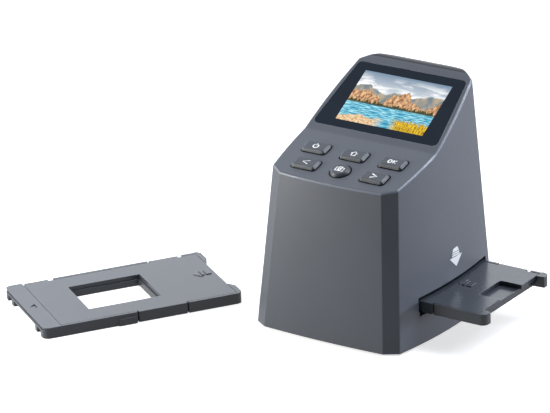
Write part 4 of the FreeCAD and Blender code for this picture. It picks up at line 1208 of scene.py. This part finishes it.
@dataclass
class Studio:
    """The floor, the lamps, the room's light and the camera."""

    floor_size: float = 9.0
    floor_drop: float = 0.00005
    paper_colours: tuple[str, str] = ("#dcdcdc", "#d9d9d9")
    paper_glow: float = 0.66
    mirrored_glow: float = 0.8
    bounce_colour: str = "#85878a"
    room_colour: str = "#f1f5fb"
    room_bright_way: Triple = (-0.56, 0.83, 0.0)
    room_span: Point = (-0.5, 0.75)
    room_strengths: Point = (0.05, 2.0)
    overhead_span: Point = (0.35, 0.78)
    overhead_share: float = 0.2
    lens_mm: float = 261.818
    sensor_mm: float = 36.0
    clip: Point = (0.05, 50)
    camera_place: Triple = (0.957528, -1.446636, 0.735670)
    azimuth_deg: float = 34.962
    elevation_deg: float = 21.444
    roll_deg: float = -1.939
    aim: Triple = (0, 0, 0.05)
    softboxes: tuple[Softbox, ...] = (
        Softbox("left_softbox", (-0.27, -0.22, 0.12), (0.16, 0.14), 1.1, "#fffcf6"),
        Softbox("front_strip", (-0.85, -1.12, 0.74), (0.2, 0.15), 1.7, "#fffcf8"),
        Softbox("right_softbox", (0.97, 0.82, 1.2), (0.45, 0.4), 6.4, "#e9f0ff"),
        Softbox("right_low_strip", (1.0, 1.05, 0.14), (0.6, 0.2), 8.0, "#e4ecff"),
        Softbox("top_softbox", (0.4, 0.5, 1.5), (0.8, 0.8), 18, "#f2f6ff"),
    )

    def floor(self) -> None:
        """Lay a pale floor that keeps the shadow."""
        mesh = bmesh.new()
        bmesh.ops.create_grid(mesh, x_segments=1, y_segments=1, size=self.floor_size / 2)
        bmesh.ops.translate(mesh, vec=(0, 0, -self.floor_drop), verts=mesh.verts)
        solid_object("floor", mesh, self.paper())

    def paper(self) -> Material:
        """Build the floor's matte studio paper: white to the camera, greyer as a light.

        Returns:
            The material.
        """
        paper = Finish("matte_studio_paper")
        material, tree, place = paper.start()
        tone = add_node(tree, "Mix", {
            "Factor": Patches(40.0, detail=3.0).spread(tree, place),
            "A": to_linear(self.paper_colours[0]), "B": to_linear(self.paper_colours[1])},
            data_type="RGBA")
        white = add_node(tree, "AddShader", {
            0: add_node(tree, "BsdfDiffuse", {"Color": tone}),
            1: add_node(tree, "Emission", {"Strength": self.paper_glow})})
        grey = add_node(tree, "BsdfDiffuse", {"Color": to_linear(self.bounce_colour)})
        path = add_node(tree, "LightPath").outputs
        mirrored = add_node(tree, "Math", {
            0: path["Is Glossy Ray"], 1: path["Is Transmission Ray"]}, operation="MAXIMUM")
        plain = add_node(tree, "Emission", {"Strength": self.mirrored_glow})
        unseen = add_node(tree, "MixShader", {0: mirrored, 1: grey, 2: plain})
        return paper.close(material, add_node(tree, "MixShader", {
            0: path["Is Camera Ray"], 1: unseen, 2: white}))

    def hang(self, box: Softbox) -> None:
        """Hang one softbox, facing the object.

        Args:
            box: The softbox.
        """
        data = bpy.data.lights.new(box.name, "AREA")
        data.shape = "RECTANGLE"
        data.size, data.size_y = box.size
        data.energy = box.watts
        data.color = to_linear(box.colour)[:3]
        lamp = placed(box.name, data)
        lamp.location = box.place
        lamp.visible_camera = False
        away = Vector(box.place) - Vector(self.aim)
        lamp.rotation_euler = away.to_track_quat("Z", "Y").to_euler()

    def room(self) -> None:
        """Light the room: bright low behind, dimmer overhead and in front."""
        world = bpy.data.worlds.new("room")
        world.use_nodes = True
        tree = world.node_tree
        tree.nodes.clear()
        way = add_node(tree, "TexCoord").outputs["Generated"]
        towards = add_node(tree, "VectorMath", {
            0: way, 1: Vector(self.room_bright_way).normalized()}, operation="DOT_PRODUCT")
        around = add_node(tree, "MapRange", {
            0: towards.outputs["Value"], 1: self.room_span[0], 2: self.room_span[1],
            3: self.room_strengths[0], 4: self.room_strengths[1]},
            interpolation_type="SMOOTHSTEP")
        rise = add_node(tree, "SeparateXYZ", {0: way}).outputs[2]
        overhead = add_node(tree, "MapRange", {
            0: rise, 1: self.overhead_span[0], 2: self.overhead_span[1], 3: 1.0,
            4: self.overhead_share}, interpolation_type="SMOOTHSTEP")
        level = add_node(tree, "Math", {0: around, 1: overhead}, operation="MULTIPLY")
        back = add_node(tree, "Background", {
            "Color": to_linear(self.room_colour), "Strength": level})
        add_node(tree, "OutputWorld", {"Surface": back})
        bpy.context.scene.world = world

    def camera(self) -> None:
        """Set up the camera at the portrait's place."""
        data = bpy.data.cameras.new("portrait")
        data.lens = self.lens_mm
        data.sensor_width = self.sensor_mm
        data.sensor_fit = "HORIZONTAL"
        data.clip_start, data.clip_end = self.clip
        az, el, roll = (math.radians(angle) for angle in (
            self.azimuth_deg, self.elevation_deg, self.roll_deg))
        back = Vector((math.sin(az) * math.cos(el), -math.cos(az) * math.cos(el), math.sin(el)))
        right = Vector((math.cos(az), math.sin(az), 0))
        up = back.cross(right)
        side = right * math.cos(roll) + up * math.sin(roll)
        top = up * math.cos(roll) - right * math.sin(roll)
        turn = Matrix((side, top, back)).transposed().to_4x4()
        camera = placed("portrait", data)
        camera.matrix_world = Matrix.Translation(self.camera_place) @ turn
        bpy.context.scene.camera = camera

    def build(self) -> None:
        """Set up the whole studio."""
        self.floor()
        self.room()
        for box in self.softboxes:
            self.hang(box)
        self.camera()
        bpy.context.scene.view_settings.view_transform = "Standard"
        log.info("studio is ready")


@dataclass
class ScannerDress:
    """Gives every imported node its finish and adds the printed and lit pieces."""

    screen_slope: Slope = Slope(30.1)
    keypad_slope: Slope = Slope(15.6)
    loose_centre_mm: Point = (-110.2, -47.9)
    loose_yaw_deg: float = 56.4
    loose_tip_mm: Point = (36.6, 2.0)
    slot_tip_mm: Point = (43.6, 7.1)

    def finishes(self) -> dict[str, Material]:
        """Build one finish for each material slot.

        Returns:
            The materials by slot name.
        """
        rim = TopRim((self.screen_slope, self.keypad_slope))
        # edge_mm lightens the corners of these plastics as a painted highlight; the shell's rim also gets a
        # painted highlight and its key pockets a painted shade.
        smooth = {"roughness": 0.22, "grain_mm": 0.5, "grain_depth_mm": 0.001, "edge_mm": 0.35}
        recipes = {
            "shell_abs": MouldedPlastic("shell_satin_abs", "#5a5f68", edge_mm=0.4, rim=rim),
            "base_abs": MouldedPlastic("base_black_abs", "#1d1e21", 0.55, edge_mm=0.4),
            "foot_rubber": SoftRubber("foot_black_rubber", "#17181a"),
            "screw_steel": PlatedSteel("screw_zinc_plated_steel", "#c9ccd0", Drawing.NONE, 0.32),
            "window_acrylic": BackPrintedAcrylic("window_printed_acrylic", "#18222e"),
            "display": BackPrintedAcrylic("display_panel_polariser", "#15181b"),
            "display_frame": PlatedSteel("display_frame_tin_plated_steel", "#c2c6ca"),
            "flat_cable": FlatCableFilm("cable_amber_polyimide"),
            "circuit_board": SolderMaskBoard("board_green_glass_fibre"),
            "switch_plastic": MouldedPlastic("switch_black_nylon", "#1a1a1b", 0.5, grain_mm=0.2),
            "chip_epoxy": MouldedPlastic("chip_black_epoxy", "#151517", 0.62, grain_mm=0.15),
            "socket_steel": PlatedSteel("socket_tinned_steel", "#cfd2d4", Drawing.ALONG_Y, 0.25),
            "tunnel_abs": MouldedPlastic("tunnel_matte_black_abs", "#111112", 0.75,
                                         grain_mm=0.5),
            "lens_glass": CoatedLensGlass("lens_coated_glass"),
            "barrel_black": MouldedPlastic("barrel_black_polycarbonate", "#141415", 0.5),
            "guide_abs": MouldedPlastic("guide_black_abs", "#1c1d20", 0.45),
            "spring_steel": PlatedSteel("spring_nickel_plated_steel", "#b9bec4",
                                        Drawing.ALONG_X, 0.22),
            "light_box_white": MouldedPlastic("light_box_white_abs", "#eceded", 0.5),
            "diffuser_opal": OpalAcrylic("diffuser_opal_acrylic"),
            "led_white": LampPackage("lamp_white_ceramic"),
            # The keys get a painted highlight on their corners and a painted shade towards their foot.
            "key_abs": MouldedPlastic("key_satin_abs", "#4c5159", 0.36, edge_mm=0.25,
                                      painted_edge_highlight=2.4, foot=self.keypad_slope),
            "holder_dark": MouldedPlastic("slot_holder_smooth_abs", "#3c4149", **smooth),
            "holder_grey": MouldedPlastic("loose_holder_smooth_abs", "#41464e", **smooth),
            "pin_steel": PlatedSteel("pin_drawn_steel", "#bfc3c7", Drawing.NONE, 0.25),
        }
        return {slot: recipe.build() for slot, recipe in recipes.items()}

    def build(self) -> None:
        """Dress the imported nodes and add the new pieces."""
        materials = self.finishes()
        for entry in frame["record"]["subparts"]:
            node = frame["nodes"][entry["node"]]
            for holder in node.material_slots:
                holder.material = materials[entry["material_slot"]]
            log.info("dressed %s as %s", entry["node"], entry["material_slot"])
        ink = PrintedInk("sign_white_ink").build()
        ScreenCover(self.screen_slope).dress(materials["window_acrylic"])
        Keypad(self.keypad_slope).dress(ink)
        WallMarker().dress(ink)
        turned = Matrix.Rotation(math.radians(self.loose_yaw_deg), 2) @ Vector(self.loose_tip_mm)
        spot = (self.loose_centre_mm[0] + turned.x, self.loose_centre_mm[1] + turned.y)
        HolderArrow("loose_lid_arrow", "loose_lid", "loose_holder_lid", "holder_grey", spot,
                    self.loose_yaw_deg).dress(materials["holder_grey"])
        HolderArrow("slot_lid_arrow", "slot_holder", "slot_holder_lid", "holder_dark",
                    self.slot_tip_mm, 0.0).dress(materials["holder_dark"])


def main() -> None:
    """Build the scene in order and note the sizes."""
    logging.basicConfig(level=logging.INFO, format="%(name)s: %(message)s")
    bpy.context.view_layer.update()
    Studio().build()
    ScannerDress().build()


if __name__ == "__main__":
    main()
